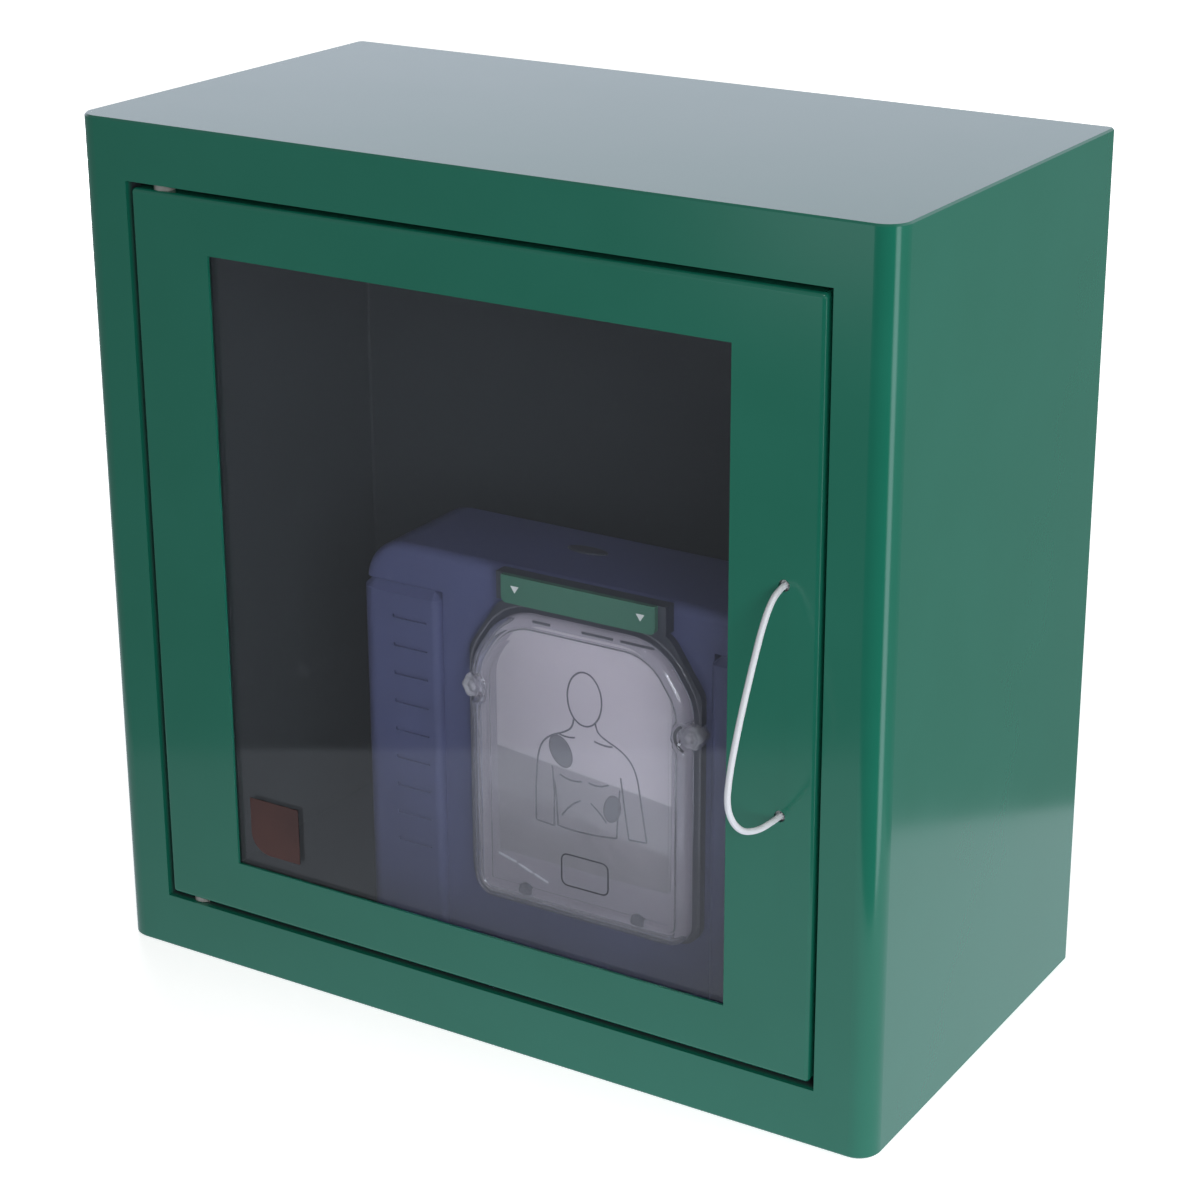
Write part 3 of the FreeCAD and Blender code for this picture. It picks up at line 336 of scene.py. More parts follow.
finishes = {
    "green_powder_coat": powder_coat_on_steel("powder_coated_steel_green", True),
    "clear_acrylic": cast_acrylic_pane(),
    "zinc_steel": zinc_plated_steel(),
    "white_nylon": moulded_plastic("moulded_nylon_natural", "#8B8C89", "#999A96", 0.5, 0.01, 0.42),
    "black_rubber": moulded_plastic("moulded_epdm_rubber_black", "#161617", "#222223", 0.6, 0.03, 0.75),
    "white_cord": braided_polyester(),
    "label_film": moulded_plastic("printed_vinyl_film_brown", "#331F1D", "#53342D", 0.4, 0.01, 0.5),
    # Spark-eroded grain of 0.8 mm is drawn a little coarser than real, so that it shows.
    "navy_plastic": moulded_plastic("moulded_abs_navy", "#484C70", "#52577E", 0.8, 0.015, 0.5),
    "grey_plastic": moulded_plastic("moulded_abs_slate", "#393B46", "#43454F", 0.7, 0.04, 0.5),
    "clear_cover": moulded_clear_plastic("moulded_copolyester_clear", 0.93),
    "card_print": card_with_painted_shadow(),
    "green_plastic": moulded_plastic("moulded_abs_green", "#3F6E5E", "#477865", 0.6, 0.01, 0.4),
    "orange_plastic": tinted_polycarbonate("tinted_polycarbonate_orange", "#D9560F", "#F07A22"),
    "blue_plastic": tinted_polycarbonate("tinted_polycarbonate_blue", "#1B55B0", "#3877D4"),
}
milky_plastic = moulded_clear_plastic("moulded_copolyester_milky", 0.7)
liner_plastic = moulded_plastic("thermoformed_liner_grey", "#AAA4A8", "#B6B0B4", 0.6, 0.02, 0.35)
white_ink = ink("screen_ink_white", "#E9EBEA")
dark_ink = ink("screen_ink_dark_grey", "#26262E")
grey_ink = ink("screen_ink_grey", "#505159")

slot_of = {part["node"]: part["material_slot"] for part in frame["record"]["subparts"]}
for name, node in nodes.items():
    node.data.materials.clear()
    node.data.materials.append(finishes[slot_of[name]])
# The door's coat has no painted shade on its inside.
nodes["door_panel"].data.materials[0] = powder_coat_on_steel("powder_coated_steel_green_door", False)


# Pull cord

# Centreline of the cord, from the knot behind the upper hole to the one behind the lower, as
# millimetres out from the door's face and above its middle.
CORD_X = 146.8
CORD_ROUTE = [(-3.0, 47.0), (5.5, 47.0), (14.5, 39.4), (23.0, 24.3), (33.0, 4.0), (40.5, -15.0),
              (42.5, -28.5), (32.5, -41.5), (18.0, -47.3), (5.0, -48.5), (-3.0, -48.5)]
CORD_RADIUS = 1.3 * MM
CORD_STEP = 0.3 * MM
KNOT_Y = -95.9


def spline_points(name, controls):
    """Points along the smooth NURBS spline of these control points."""
    curve = bpy.data.curves.new(name, "CURVE")
    curve.dimensions = "3D"
    curve.resolution_u = 48
    spline = curve.splines.new("NURBS")
    spline.points.add(len(controls) - 1)
    for point, control in zip(spline.points, controls):
        point.co = (*control, 1.0)
    spline.order_u = 3
    spline.use_endpoint_u = True
    guide = bpy.data.objects.new(name, curve)
    bpy.context.scene.collection.objects.link(guide)
    mesh = bpy.data.meshes.new_from_object(guide)
    points = [vertex.co.copy() for vertex in mesh.vertices]
    bpy.data.objects.remove(guide)
    bpy.data.meshes.remove(mesh)
    return points


def even_steps(points, step):
    """The same line with points an even step apart."""
    lengths = [0.0]
    for a, b in zip(points, points[1:]):
        lengths.append(lengths[-1] + (b - a).length)
    count = max(2, round(lengths[-1] / step))
    line = []
    k = 0
    for i in range(count + 1):
        goal = lengths[-1] * i / count
        while k < len(points) - 2 and lengths[k + 1] < goal:
            k += 1
        span = lengths[k + 1] - lengths[k]
        line.append(points[k].lerp(points[k + 1], (goal - lengths[k]) / span if span else 0.0))
    return line


def braided_tube(line, radius, closed=False, taper=0):
    """Rings along a line, raised where the strands of a braid cross, with ends rounded over taper rings."""
    strands = 4
    crossing = 1.25 * MM
    sides = 32
    rings = []
    previous = None
    travelled = 0.0
    for i, point in enumerate(line):
        ahead = line[(i + 1) % len(line)] if closed else line[min(i + 1, len(line) - 1)]
        behind = line[i - 1] if closed else line[max(i - 1, 0)]
        along = (ahead - behind).normalized()
        if previous is None:
            side = along.orthogonal().normalized()
        else:
            side = (previous - along * previous.dot(along)).normalized()
        previous = side
        up = along.cross(side)
        if i:
            travelled += (point - line[i - 1]).length
        end = min(i, len(line) - 1 - i)
        shrink = math.sqrt(1 - (1 - end / taper) ** 2) if end < taper else 1.0
        ring = []
        for j in range(sides):
            angle = 2 * math.pi * j / sides
            turn = math.pi * travelled / crossing
            relief = math.sin(strands * angle + turn) * math.sin(strands * angle - turn)
            reach = radius * shrink * (0.95 + 0.05 * relief)
            ring.append(point + reach * (math.cos(angle) * side + math.sin(angle) * up))
        rings.append(ring)
    return rings


controls = [(CORD_X * MM, -(HALF_DEPTH + out) * MM, (MID_HEIGHT + rise) * MM) for out, rise in CORD_ROUTE]
cord_path = even_steps(spline_points("cord_line", controls), CORD_STEP)
cord = add_mesh("pull_cord", *skin(braided_tube(cord_path, CORD_RADIUS)), finishes["white_cord"])
place(cord, "door", "white_cord", "handle_cord")


def overhand_knot(name, rise, droop):
    """A small overhand knot pulled against the back of the door, with its cut and melted tail."""
    middle = Vector((CORD_X * MM, KNOT_Y * MM, (MID_HEIGHT + rise) * MM))
    loop = []
    for i in range(160):
        t = 2 * math.pi * i / 160
        wide = (2 + math.cos(3 * t)) * 0.9 * MM
        loop.append(middle + Vector((wide * math.cos(2 * t), 1.15 * MM * math.sin(3 * t),
                                     wide * math.sin(2 * t))))
    tail = [middle + Vector(p) * MM for p in ((0, 0, 0), (1.0, 1.5, 2.0 * droop), (2.2, 3.0, 4.5 * droop),
                                              (2.6, 3.4, 7.5 * droop))]
    tail_line = even_steps(spline_points(name + "_line", tail), CORD_STEP)
    knot_points, knot_faces = skin(braided_tube(loop, 1.1 * MM, closed=True), closed=True)
    tail_points, tail_faces = skin(braided_tube(tail_line, 1.15 * MM, taper=4))
    shift = len(knot_points)
    faces = knot_faces + [tuple(i + shift for i in face) for face in tail_faces]
    return add_mesh(name, knot_points + tail_points, faces, finishes["white_cord"])


upper_knot = overhand_knot("knot_upper", CORD_ROUTE[0][1], 1)
lower_knot = overhand_knot("knot_lower", CORD_ROUTE[-1][1], -1)
place(upper_knot, "door", "white_cord", "cord_knots")
place(lower_knot, "door", "white_cord")


# Pads cartridge: clear cover, latches, pegs, liner, card and tray lip, then what is printed on them

# Outlines are corners seen from the front: mm right of the cartridge's middle, mm above the base, radius.
CARTRIDGE_X = 20.0
HALF_COVER = 54.5
LATCH_Z = 136.2
COVER_TOP = [(HALF_COVER, 150.2, 28), (38.0, 175.2, 28), (-38.0, 175.2, 28), (-HALF_COVER, 150.2, 28)]
TRAY_CORNERS = [(-HALF_COVER, 41.2, 10), (HALF_COVER, 41.2, 10)] + COVER_TOP
COVER_CORNERS = [(-HALF_COVER, 37.6, 10), (HALF_COVER, 37.6, 10)] + COVER_TOP
CARD_CORNERS = [(-43.5, 60.2, 1), (43.5, 60.2, 1), (43.5, 148.5, 20), (31.5, 170.2, 20),
                (-31.5, 170.2, 20), (-43.5, 148.5, 20)]


def rounded_outline(corners, grow):
    """A shape of (x, z, radius) corners seen from the front, in mm, with round corners, grown outwards."""
    corner_steps = 12
    edge_steps = 30
    count = len(corners)
    pushed = []
    for i in range(count):
        ax, az, _ = corners[i]
        bx, bz, _ = corners[(i + 1) % count]
        along = Vector((bx - ax, bz - az)).normalized()
        out = Vector((along.y, -along.x))
        pushed.append((Vector((ax, az)) + out * grow, along))
    meets = []
    for i in range(count):
        start, along = pushed[i - 1]
        other, across = pushed[i]
        gap = other - start
        reach = (gap.x * across.y - gap.y * across.x) / (along.x * across.y - along.y * across.x)
        meets.append((start + along * reach, along, across, max(0.5, corners[i][2] + grow)))
    outline = []
    for i in range(count):
        corner, before, after, radius = meets[i]
        turn = before.angle(after)
        trim = radius * math.tan(turn / 2)
        begin = corner - before * trim
        centre = begin + Vector((-before.y, before.x)) * radius
        for step in range(corner_steps + 1):
            angle = -turn * (1 - step / corner_steps)
            spoke = Vector((after.y, -after.x)) * radius
            cosine = math.cos(angle)
            sine = math.sin(angle)
            outline.append(centre + Vector((spoke.x * cosine - spoke.y * sine,
                                            spoke.x * sine + spoke.y * cosine)))
        end = corner + after * trim
        following, _, beyond, next_radius = meets[(i + 1) % count]
        stop = following - after * next_radius * math.tan(after.angle(beyond) / 2)
        for step in range(1, edge_steps):
            outline.append(end.lerp(stop, step / edge_steps))
    return outline


def cartridge_ring(outline, y):
    """A ring of points of an outline on the cartridge, in mm from its middle, y mm front to back."""
    return [((CARTRIDGE_X + point.x) * MM, y * MM, point.y * MM) for point in outline]


def cover_ring(grow, y):
    """One ring of the cover in mm, dented round both latches, and the more so the further in it lies."""
    room = 6.1 + 0.5 * min(5.0, -grow)
    outline = []
    for point in rounded_outline(COVER_CORNERS, grow):
        for side in (-HALF_COVER, HALF_COVER):
            away = point - Vector((side, LATCH_Z))
            if away.length < room:
                point = Vector((side, LATCH_Z)) + away.normalized() * room
        outline.append(point)
    return cartridge_ring(outline, y)


# Each pair is how far a ring is grown and where it lies front to back: wall, round lip, rim, step
# down to the window, and a second low step that gives the doubled line.
COVER_PROFILE = [(0.0, -39.1), (-0.1, -42.6), (-0.5, -43.8), (-1.2, -44.6), (-2.2, -45.0), (-4.0, -45.0),
                 (-4.7, -44.8), (-5.1, -44.2), (-5.6, -43.9), (-8.2, -43.8), (-8.7, -44.1), (-9.3, -44.2)]
COVER_WALL = 1.1
outer = [cover_ring(grow, y) for grow, y in COVER_PROFILE]
inner = [cover_ring(grow - COVER_WALL, y + (COVER_WALL if y < -40 else 0)) for grow, y in COVER_PROFILE]
cover = add_mesh("cartridge_clear_cover", *skin(inner[::-1] + outer), finishes["clear_cover"])
place(cover, "cabinet", "clear_cover", "cartridge_cover")

LATCH_PROFILE = [(5.0, -35.0), (5.5, -35.6), (5.5, -41.6), (5.2, -42.5), (4.5, -43.0), (3.8, -43.0),
                 (3.3, -42.4), (2.2, -42.3), (1.8, -43.4), (1.2, -43.9), (0.4, -44.0)]
for hand, reach in (("left", -HALF_COVER), ("right", HALF_COVER)):
    rings = turned(LATCH_PROFILE, (CARTRIDGE_X + reach) * MM, LATCH_Z * MM, 96, 6)
    latch = add_mesh(f"cartridge_latch_{hand}", *skin(rings), milky_plastic)
    if hand == "left":
        place(latch, "cabinet", "clear_cover", "cartridge_latches")
    else:
        place(latch, "cabinet", "clear_cover")

PEG_Z = 44.0
PEG_PROFILE = [(3.0, -39.0), (3.0, -40.6), (2.7, -41.4), (1.9, -41.8), (0.3, -41.9)]
for hand, reach in (("left", -29.5), ("right", 28.0)):
    rings = turned(PEG_PROFILE, (CARTRIDGE_X + reach) * MM, PEG_Z * MM, 32)
    peg = add_mesh(f"cover_peg_{hand}", *skin(rings), finishes["grey_plastic"])
    place(peg, "cabinet", "grey_plastic")


def plate(corners, grow, rear, front, bevel):
    """Rings of a plate of that outline, with a small bevel round its front, in mm front to back."""
    rings = []
    for inset, y in ((0.0, rear), (0.0, front + bevel), (bevel, front)):
        rings.append(cartridge_ring(rounded_outline(corners, grow - inset), y))
    return rings


# Pale liner behind the cover, the card on it and a clear lip round the tray
liner = add_mesh("cartridge_liner", *skin(plate(COVER_CORNERS, -1.4, -38.9, -39.15, 0.05)), liner_plastic)
place(liner, "cabinet", "grey_plastic")
card_rings = plate(CARD_CORNERS, 0.0, -39.1, -39.7, 0.15)
card = add_mesh("printed_pads_card", *skin(card_rings), finishes["card_print"])
place(card, "cabinet", "card_print", "pads_card")

LIP_PROFILE = [(3.4, -38.8), (3.5, -39.4), (3.2, -39.7), (2.8, -39.7), (2.5, -39.4), (2.5, -38.8)]
lip_rings = [cartridge_ring(rounded_outline(TRAY_CORNERS, grow), y) for grow, y in LIP_PROFILE]
place(add_mesh("tray_lip", *skin(lip_rings, closed=True), finishes["clear_cover"]), "cabinet", "clear_cover")

# Low raised strokes on the liner, below the left of the card's foot, white as painted glints: left, right,
# and height at each end
GLINT_BEADS = [(-44.0, -34.5, 58.0, 55.8), (-33.5, -26.0, 54.9, 52.6), (-25.5, -18.0, 52.2, 49.9)]
BEAD_Y = -39.3
turns = [2 * math.pi * j / 16 for j in range(16)]
for i, (left, right, high, low) in enumerate(GLINT_BEADS):
    bead = []
    for x, z, size in ((left, high, 0.3), (left + 0.5, high, 0.55), (right - 0.5, low, 0.55),
                       (right, low, 0.3)):
        bead.append([((CARTRIDGE_X + x) * MM, (BEAD_Y + size * math.cos(turn)) * MM,
                      (z + size * math.sin(turn)) * MM) for turn in turns])
    place(add_mesh(f"glint_bead_{i + 1}", *skin(bead), white_ink), "cabinet", "card_print")


def line_strip(points, width, y):
    """Points and faces of a flat printed line through points in mm, facing the front."""
    left = []
    right = []
    for i, point in enumerate(points):
        ahead = Vector(points[min(i + 1, len(points) - 1)])
        behind = Vector(points[max(i - 1, 0)])
        along = (ahead - behind).normalized()
        across = Vector((-along.y, along.x)) * width / 2
        left.append(((point[0] + across.x) * MM, y * MM, (point[1] + across.y) * MM))
        right.append(((point[0] - across.x) * MM, y * MM, (point[1] - across.y) * MM))
    count = len(points)
    faces = [(i, i + 1, count + i + 1, count + i) for i in range(count - 1)]
    return left + right, faces


def smooth_line(controls):
    """A flat smooth line in the plane of the card, from a few control points in mm."""
    if len(controls) < 3:
        return controls
    return [(p.x, p.z) for p in spline_points("drawing_line", [(x, 0, z) for x, z in controls])]


def add_print(name, strips, material, slot):
    """Printed lines and fields, or painted shade, as one thin piece."""
    points = []
    faces = []
    for strip_points, strip_faces in strips:
        shift = len(points)
        points += strip_points
        faces += [tuple(i + shift for i in face) for face in strip_faces]
    return place(add_mesh(name, points, faces, material), "cabinet", slot)


def oval(x, z, half_x, half_z, tilt):
    """Points of an oval in mm, tilted by degrees."""
    count = 40
    lean = math.radians(tilt)
    points = []
    for i in range(count + 1):
        angle = 2 * math.pi * i / count
        u = half_x * math.cos(angle)
        v = half_z * math.sin(angle)
        points.append((x + u * math.cos(lean) - v * math.sin(lean),
                       z + u * math.sin(lean) + v * math.cos(lean)))
    return points


def field(outline, y):
    """A filled flat shape in mm."""
    points = [(x * MM, y * MM, z * MM) for x, z in outline[:-1]]
    return points, [tuple(range(len(points)))]


# A plain figure that shows where pads go: head, arms and trunk in outline, with nothing in the face.
CARD_FACE = -39.75
FIGURE_X = 21.3
FIGURE = [
    [(-5.4, 131.5), (-5.7, 127.5), (-9.5, 124.2), (-18.5, 120.5), (-23.3, 114.0), (-24.8, 99.0),
     (-24.8, 79.5)],
    [(-24.8, 79.5), (-15.6, 78.6)],
    [(-15.6, 78.6), (-14.8, 92.0), (-16.4, 107.0)],
    [(-15.2, 100.0), (-14.0, 90.0), (-13.6, 79.3)],
    [(5.4, 131.8), (5.8, 128.0), (9.5, 125.2), (19.5, 121.2), (25.8, 114.0), (28.3, 98.0), (31.0, 81.6)],
    [(31.0, 81.6), (22.2, 81.0)],
    [(22.2, 81.0), (19.8, 95.0), (18.0, 109.0)],
    [(17.6, 103.0), (16.6, 92.0), (16.1, 80.2)],
    [(-13.6, 79.3), (1.0, 77.6), (16.1, 80.2)],
    [(-4.8, 122.6), (-9.0, 121.4), (-13.0, 122.6)],
    [(4.8, 123.0), (9.0, 121.6), (14.0, 122.4)],
    [(-12.5, 103.8), (-7.0, 101.0), (-1.5, 102.8)],
    [(2.0, 103.0), (7.0, 101.4), (12.0, 104.2)],
    [(-11.5, 84.5), (-7.5, 91.0), (-2.0, 93.6)],
    [(3.0, 93.6), (7.5, 90.5), (11.0, 86.0)],
]
figure = [oval(FIGURE_X, 141.2, 8.6, 12.4, 0)]
for line in FIGURE:
    figure.append(smooth_line([(FIGURE_X + x, z) for x, z in line]))
pads = [oval(FIGURE_X - 12.0, 114.6, 5.0, 7.4, 28), oval(FIGURE_X + 13.8, 93.4, 3.9, 6.3, -14)]
figure_lines = [line_strip(line, 0.85, CARD_FACE) for line in figure + pads]
add_print("card_figure", figure_lines, dark_ink, "card_print")
add_print("card_pads", [field(pad, CARD_FACE + 0.02) for pad in pads], grey_ink, "card_print")


def rounded_box(left, foot, right, head, radius):
    """Points of a box with rounded corners, in mm."""
    points = []
    for x, z, first in ((right - radius, foot + radius, -90), (right - radius, head - radius, 0),
                        (left + radius, head - radius, 90), (left + radius, foot + radius, 180)):
        for step in range(7):
            angle = math.radians(first + 15 * step)
            points.append((x + radius * math.cos(angle), z + radius * math.sin(angle)))
    return points + points[:1]


# An empty frame printed on the cover's window
COVER_WINDOW = -44.25
cover_frame = line_strip(rounded_box(11.8, 53.6, 35.4, 68.6, 3.0), 0.7, COVER_WINDOW)
add_print("cover_frame", [cover_frame], dark_ink, "card_print")

# Painted shade: grey strokes along the cover's rim under the tab for the shaded gaps there, and a dark
# arc beside the right latch for the shade in its recess
COVER_RIM = -44.8
RECESS_RADIUS = 6.3
rim_gap_shade = [line_strip([(left, 173.8), (right, 173.8)], 1.2, COVER_RIM)
             for left, right in ((-1.5, 7.5), (23.0, 38.5), (42.0, 58.5))]
recess_shade_line = []
for degrees in range(120, 251, 10):
    turn = math.radians(degrees)
    recess_shade_line.append((CARTRIDGE_X + HALF_COVER + RECESS_RADIUS * math.cos(turn),
                        LATCH_Z + RECESS_RADIUS * math.sin(turn)))
add_print("rim_gap_shade", rim_gap_shade, grey_ink, "clear_cover")
add_print("latch_recess_shade", [line_strip(recess_shade_line, 1.4, -44.2)], dark_ink, "clear_cover")

# Two white triangles on the tab
TAB_FACE = -43.86
marks = []
for x in (-11.0, 51.0):
    marks.append(field([(x - 2.1, 187.4), (x, 184.2), (x + 2.1, 187.4), (x - 2.1, 187.4)], TAB_FACE))
add_print("tab_marks", marks, white_ink, "green_plastic")

# Oval lens let into the top of the housing
LENS_X = -2
LENS_Y = 0.5
LENS_HALF_X = 10
LENS_HALF_Y = 4
LENS_PROFILE = [(0.0, 190.9), (0.0, 191.5), (-0.4, 191.8), (-1.2, 192.0), (-2.6, 192.1)]
lens_rings = []
for grow, z in LENS_PROFILE:
    ring = []
    for i in range(48):
        angle = 2 * math.pi * i / 48
        ring.append(((LENS_X + (LENS_HALF_X + grow) * math.cos(angle)) * MM,
                     (LENS_Y + (LENS_HALF_Y + grow) * math.sin(angle)) * MM, z * MM))
    lens_rings.append(ring)
place(add_mesh("top_lens", *skin(lens_rings), finishes["grey_plastic"]), "cabinet", "grey_plastic")


# Table, light and camera

# The board's edges are lines whose way out has this x and y, at this distance in metres: towards the
# front left, the right front and the right back of the cabinet.
BOARD_EDGES = [(-0.514, -0.857, 0.384), (0.684, -0.730, 0.400), (0.730, 0.684, 0.354)]
# What gloss mirrors past the board: headings in degrees from straight ahead, and the light there
WINDOW_LIGHT = 2.8
ROOM_LIGHT = [(-60, 0.27), (-24, 0.27), (-14, 0.08), (63, 0.08), (70, 2.7), (83, 2.7), (90, 0.45),
              (120, 0.3), (180, 0.29)]


def white_table():
    """Plain white table, white to the eye but for the part's shadow, mirrored as a board in a dim room."""
    material, tree = start_material("painted_board_white")
    where = add(tree, "TexCoord").outputs["Object"]
    past_edge = None
    for out_x, out_y, reach in BOARD_EDGES:
        beyond = add(tree, "VectorMath", {"operation": "DOT_PRODUCT", 1: (out_x, out_y, 0.0)}, {0: where})
        past = add(tree, "MapRange", {"From Min": reach - 0.004, "From Max": reach + 0.004},
                   {"Value": beyond.outputs["Value"]}).outputs["Result"]
        if past_edge:
            past = add(tree, "Math", {"operation": "MAXIMUM"}, {0: past_edge, 1: past}).outputs["Value"]
        past_edge = past
    across = add(tree, "SeparateXYZ", {}, {"Vector": where})
    board_light = add(tree, "MapRange", {"From Min": -0.3, "From Max": 0.25, "To Min": 0.5, "To Max": 0.86},
                      {"Value": across.outputs["X"]})
    # The room past the board, by the heading from the cabinet's right front bend: dim to the front left,
    # dark to the front, one narrow bright window to the right and dim again behind it.
    bend = ((HALF_WIDTH - FRONT_BEND / 2) * MM, (FRONT_BEND - HALF_DEPTH) * MM, 0.0)
    from_bend = add(tree, "VectorMath", {"operation": "SUBTRACT", 1: bend}, {0: where})
    part = add(tree, "SeparateXYZ", {}, {"Vector": from_bend.outputs["Vector"]})
    forward = add(tree, "Math", {"operation": "MULTIPLY", 1: -1.0}, {0: part.outputs["Y"]})
    heading = add(tree, "Math", {"operation": "ARCTAN2"}, {0: part.outputs["X"],
                                                           1: forward.outputs["Value"]})
    first = ROOM_LIGHT[0][0]
    last = ROOM_LIGHT[-1][0]
    turn = add(tree, "MapRange", {"From Min": math.radians(first), "From Max": math.radians(last)},
               {"Value": heading.outputs["Value"]})
    room = add(tree, "ValToRGB", {}, {"Fac": turn.outputs["Result"]})
    stops = room.color_ramp.elements
    while len(stops) > 1:
        stops.remove(stops[-1])
    for degrees, light in ROOM_LIGHT:
        along = (degrees - first) / (last - first)
        stop = stops[0] if degrees == first else stops.new(along)
        stop.position = along
        level = light / WINDOW_LIGHT
        stop.color = (level, level, level, 1.0)
    # A pale wall far to the front, which the upper right corner mirrors.
    away = add(tree, "VectorMath", {"operation": "LENGTH"}, {0: where})
    far_wall = add(tree, "MapRange", {"From Min": 1.15, "From Max": 1.5}, {"Value": away.outputs["Value"]})
    wall_left = add(tree, "MapRange", {"From Min": math.radians(-33), "From Max": math.radians(-28)},
                    {"Value": heading.outputs["Value"]})
    wall_right = add(tree, "MapRange", {"From Min": math.radians(-12), "From Max": math.radians(-20)},
                     {"Value": heading.outputs["Value"]})
    wall_width = add(tree, "Math", {"operation": "MULTIPLY"}, {0: wall_left.outputs["Result"],
                                                               1: wall_right.outputs["Result"]})
    wall = add(tree, "Math", {"operation": "MULTIPLY"}, {0: far_wall.outputs["Result"],
                                                         1: wall_width.outputs["Value"]})
    gain = add(tree, "MapRange", {"To Min": WINDOW_LIGHT, "To Max": 3.8 * WINDOW_LIGHT},
               {"Value": wall.outputs["Value"]})
    room_light = add(tree, "Math", {"operation": "MULTIPLY"}, {0: room.outputs["Color"],
                                                               1: gain.outputs["Result"]})
    mirrored_light = add(tree, "Mix", {}, {0: past_edge, 2: board_light.outputs["Result"],
                                           3: room_light.outputs["Value"]})
    # Dull faces get the lamps' glow on the board, strongest beside the cabinet.
    glow = add(tree, "MapRange", {"From Min": 0.15, "From Max": 0.8, "To Min": 1.45, "To Max": 0.3},
               {"Value": away.outputs["Value"]})
    glow_light = add(tree, "Math", {"operation": "MULTIPLY"}, {0: glow.outputs["Result"],
                                                               1: board_light.outputs["Result"]})
    rays = add(tree, "LightPath")
    scattered = add(tree, "Math", {"operation": "GREATER_THAN", 1: 0.5}, {0: rays.outputs["Diffuse Depth"]})
    thrown_light = add(tree, "Mix", {}, {0: scattered.outputs["Value"], 2: mirrored_light.outputs[0],
                                         3: glow_light.outputs["Value"]})
    thrown = add(tree, "Emission", {"Color": linear("#ECF3FF")}, {"Strength": thrown_light.outputs[0]})
    # Seen straight, the board stays white however far from the lamps, and keeps the part's shadow.
    white_light = add(tree, "MapRange", {"From Min": 0.4, "From Max": 2.0, "To Min": 0.66, "To Max": 0.98},
                      {"Value": away.outputs["Value"]})
    pale = add(tree, "BsdfDiffuse", {"Color": linear("#EEEEEE")})
    white = add(tree, "Emission", {}, {"Strength": white_light.outputs["Result"]})
    seen_board = add(tree, "AddShader", {}, {0: pale.outputs["BSDF"], 1: white.outputs["Emission"]})
    bounces = add(tree, "Math", {"operation": "ADD"}, {0: rays.outputs["Diffuse Depth"],
                                                       1: rays.outputs["Glossy Depth"]})
    straight = add(tree, "Math", {"operation": "LESS_THAN", 1: 0.5}, {0: bounces.outputs["Value"]})
    both = add(tree, "MixShader", {}, {0: straight.outputs["Value"], 1: thrown.outputs["Emission"],
                                       2: seen_board.outputs["Shader"]})
    add(tree, "OutputMaterial", links={"Surface": both.outputs["Shader"]})
    return material


HALF_TABLE = 9.0
TABLE_Z = -0.2 * MM
table = add_mesh("table", [(-HALF_TABLE, -HALF_TABLE, TABLE_Z), (HALF_TABLE, -HALF_TABLE, TABLE_Z),
                           (HALF_TABLE, HALF_TABLE, TABLE_Z), (-HALF_TABLE, HALF_TABLE, TABLE_Z)],
                 [(0, 1, 2, 3)], white_table())


def add_lamp(name, place_at, size, power, mirrored=False):
    """A soft square lamp aimed at the middle of the cabinet. Gloss mirrors it only where asked."""
    light = bpy.data.lights.new(name, "AREA")
    light.shape = "SQUARE"
    light.size = size
    light.energy = power
    lamp = bpy.data.objects.new(name, light)
    lamp.location = place_at
    aim = Vector((0.0, -0.05, 0.17)) - Vector(place_at)
    lamp.rotation_euler = aim.to_track_quat("-Z", "Y").to_euler()
    lamp.visible_glossy = mirrored
    bpy.context.scene.collection.objects.link(lamp)


# Three soft lamps, which gloss doesn't mirror
add_lamp("softbox_front", (1.05, -1.20, 0.62), 0.6, 12)
add_lamp("softbox_right", (1.70, 0.10, 0.60), 0.6, 10)
add_lamp("softbox_back", (-1.30, 1.30, 0.60), 0.7, 22)
# A small bright lamp gives the clear plastic its glints.
add_lamp("glint_lamp", (0.10, -1.10, 1.50), 0.08, 1.2, mirrored=True)

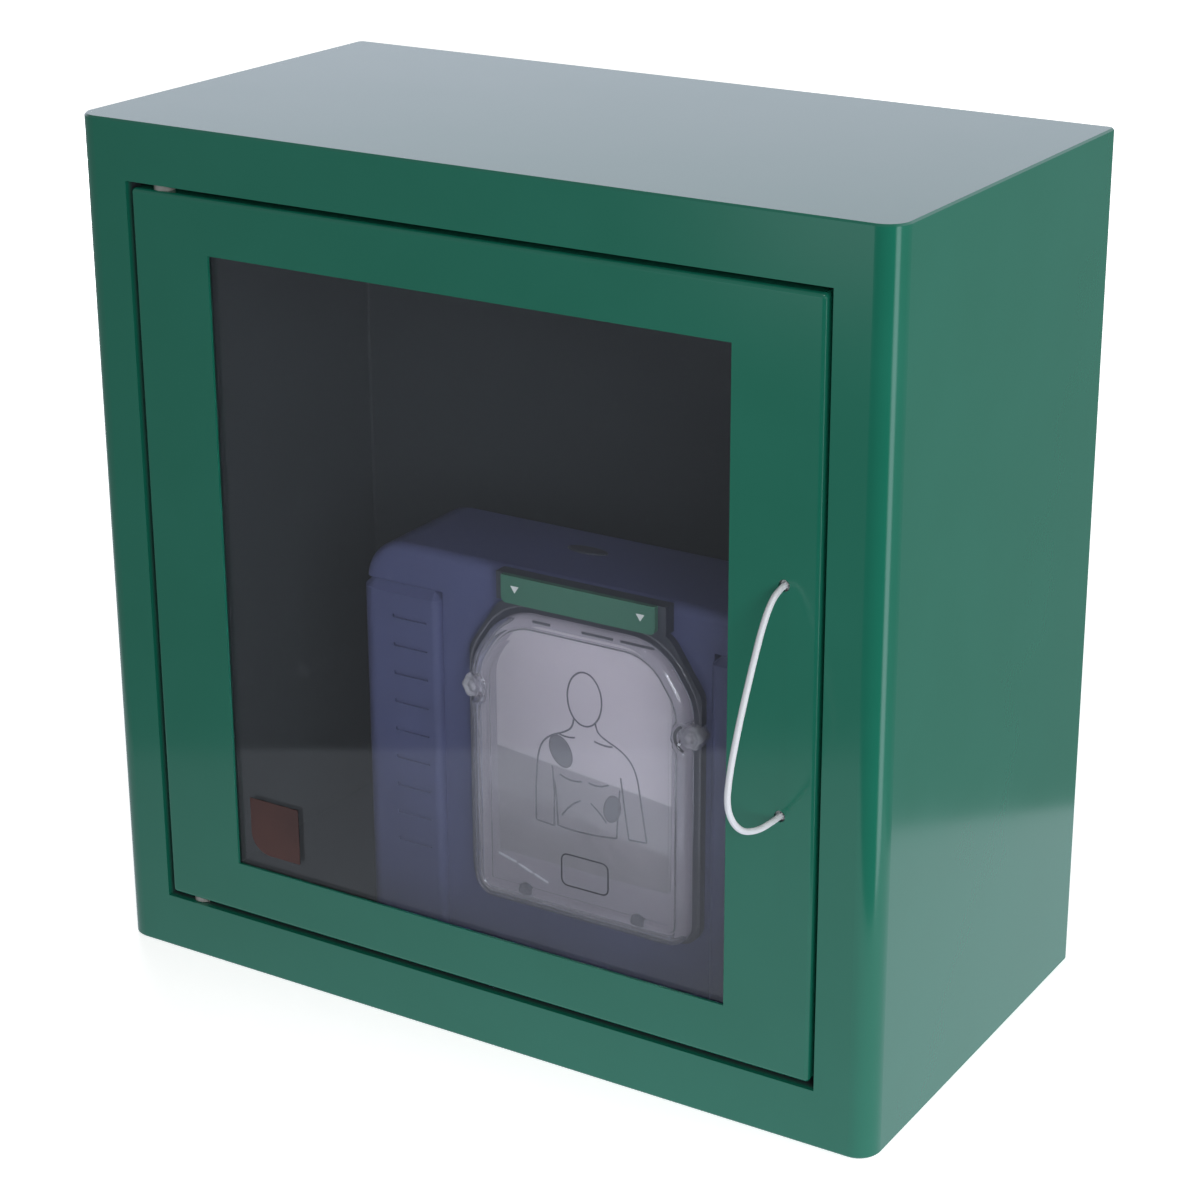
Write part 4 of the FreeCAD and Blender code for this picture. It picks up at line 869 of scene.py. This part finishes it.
world = bpy.data.worlds.new("studio")
bpy.context.scene.world = world
world.use_nodes = True
room = world.node_tree
room.nodes.clear()
rays = add(room, "LightPath")
bounces = add(room, "Math", {"operation": "ADD"}, {0: rays.outputs["Diffuse Depth"],
                                                   1: rays.outputs["Glossy Depth"]})
straight = add(room, "Math", {"operation": "LESS_THAN", 1: 0.5}, {0: bounces.outputs["Value"]})
unscattered = add(room, "Math", {"operation": "LESS_THAN", 1: 0.5}, {0: rays.outputs["Diffuse Depth"]})
# Mirrored, the backdrop is faintly blue and stands behind the cabinet, with a dim room in front. Seen
# straight, it is white all round. Light that a dull surface has scattered counts as studio air.
heading = add(room, "SeparateXYZ", {}, {"Vector": add(room, "TexCoord").outputs["Generated"]})
behind = add(room, "MapRange", {"From Min": 0.0, "From Max": 0.3}, {"Value": heading.outputs["Y"]})
mirrored = add(room, "Mix", {"data_type": "RGBA", 6: linear("#90909A"), 7: linear("#EFECFF")},
               {0: behind.outputs["Result"]})
tint = add(room, "Mix", {"data_type": "RGBA", 7: linear("#FFFFFF")},
           {0: straight.outputs["Value"], 6: mirrored.outputs[2]})
studio_air = add(room, "Background", {"Color": linear("#FFFFFF"), "Strength": 0.17})
backdrop_light = add(room, "MapRange", {"To Min": 1.06, "To Max": 1.0}, {"Value": straight.outputs["Value"]})
backdrop = add(room, "Background", {}, {"Color": tint.outputs[2],
                                        "Strength": backdrop_light.outputs["Result"]})
both = add(room, "MixShader", {}, {0: unscattered.outputs["Value"], 1: studio_air.outputs["Background"],
                                   2: backdrop.outputs["Background"]})
add(room, "OutputWorld", links={"Surface": both.outputs["Shader"]})

# Camera fitted to the edges of the cabinet
camera_data = bpy.data.cameras.new("camera")
camera_data.lens = 85.27
camera_data.sensor_width = 36.0
camera_data.shift_x = -0.0419
camera_data.shift_y = -0.0521
camera_data.clip_end = 50.0
camera = bpy.data.objects.new("camera", camera_data)
camera.matrix_world = Matrix((
    (0.85917527, -0.17681716, 0.48015993, 0.61207),
    (0.51167514, 0.29225004, -0.80794707, -0.98108),
    (0.00253215, 0.93985404, 0.34156695, 0.61774),
    (0.0, 0.0, 0.0, 1.0)))
bpy.context.scene.collection.objects.link(camera)
bpy.context.scene.camera = camera
bpy.context.scene.view_settings.view_transform = "Standard"
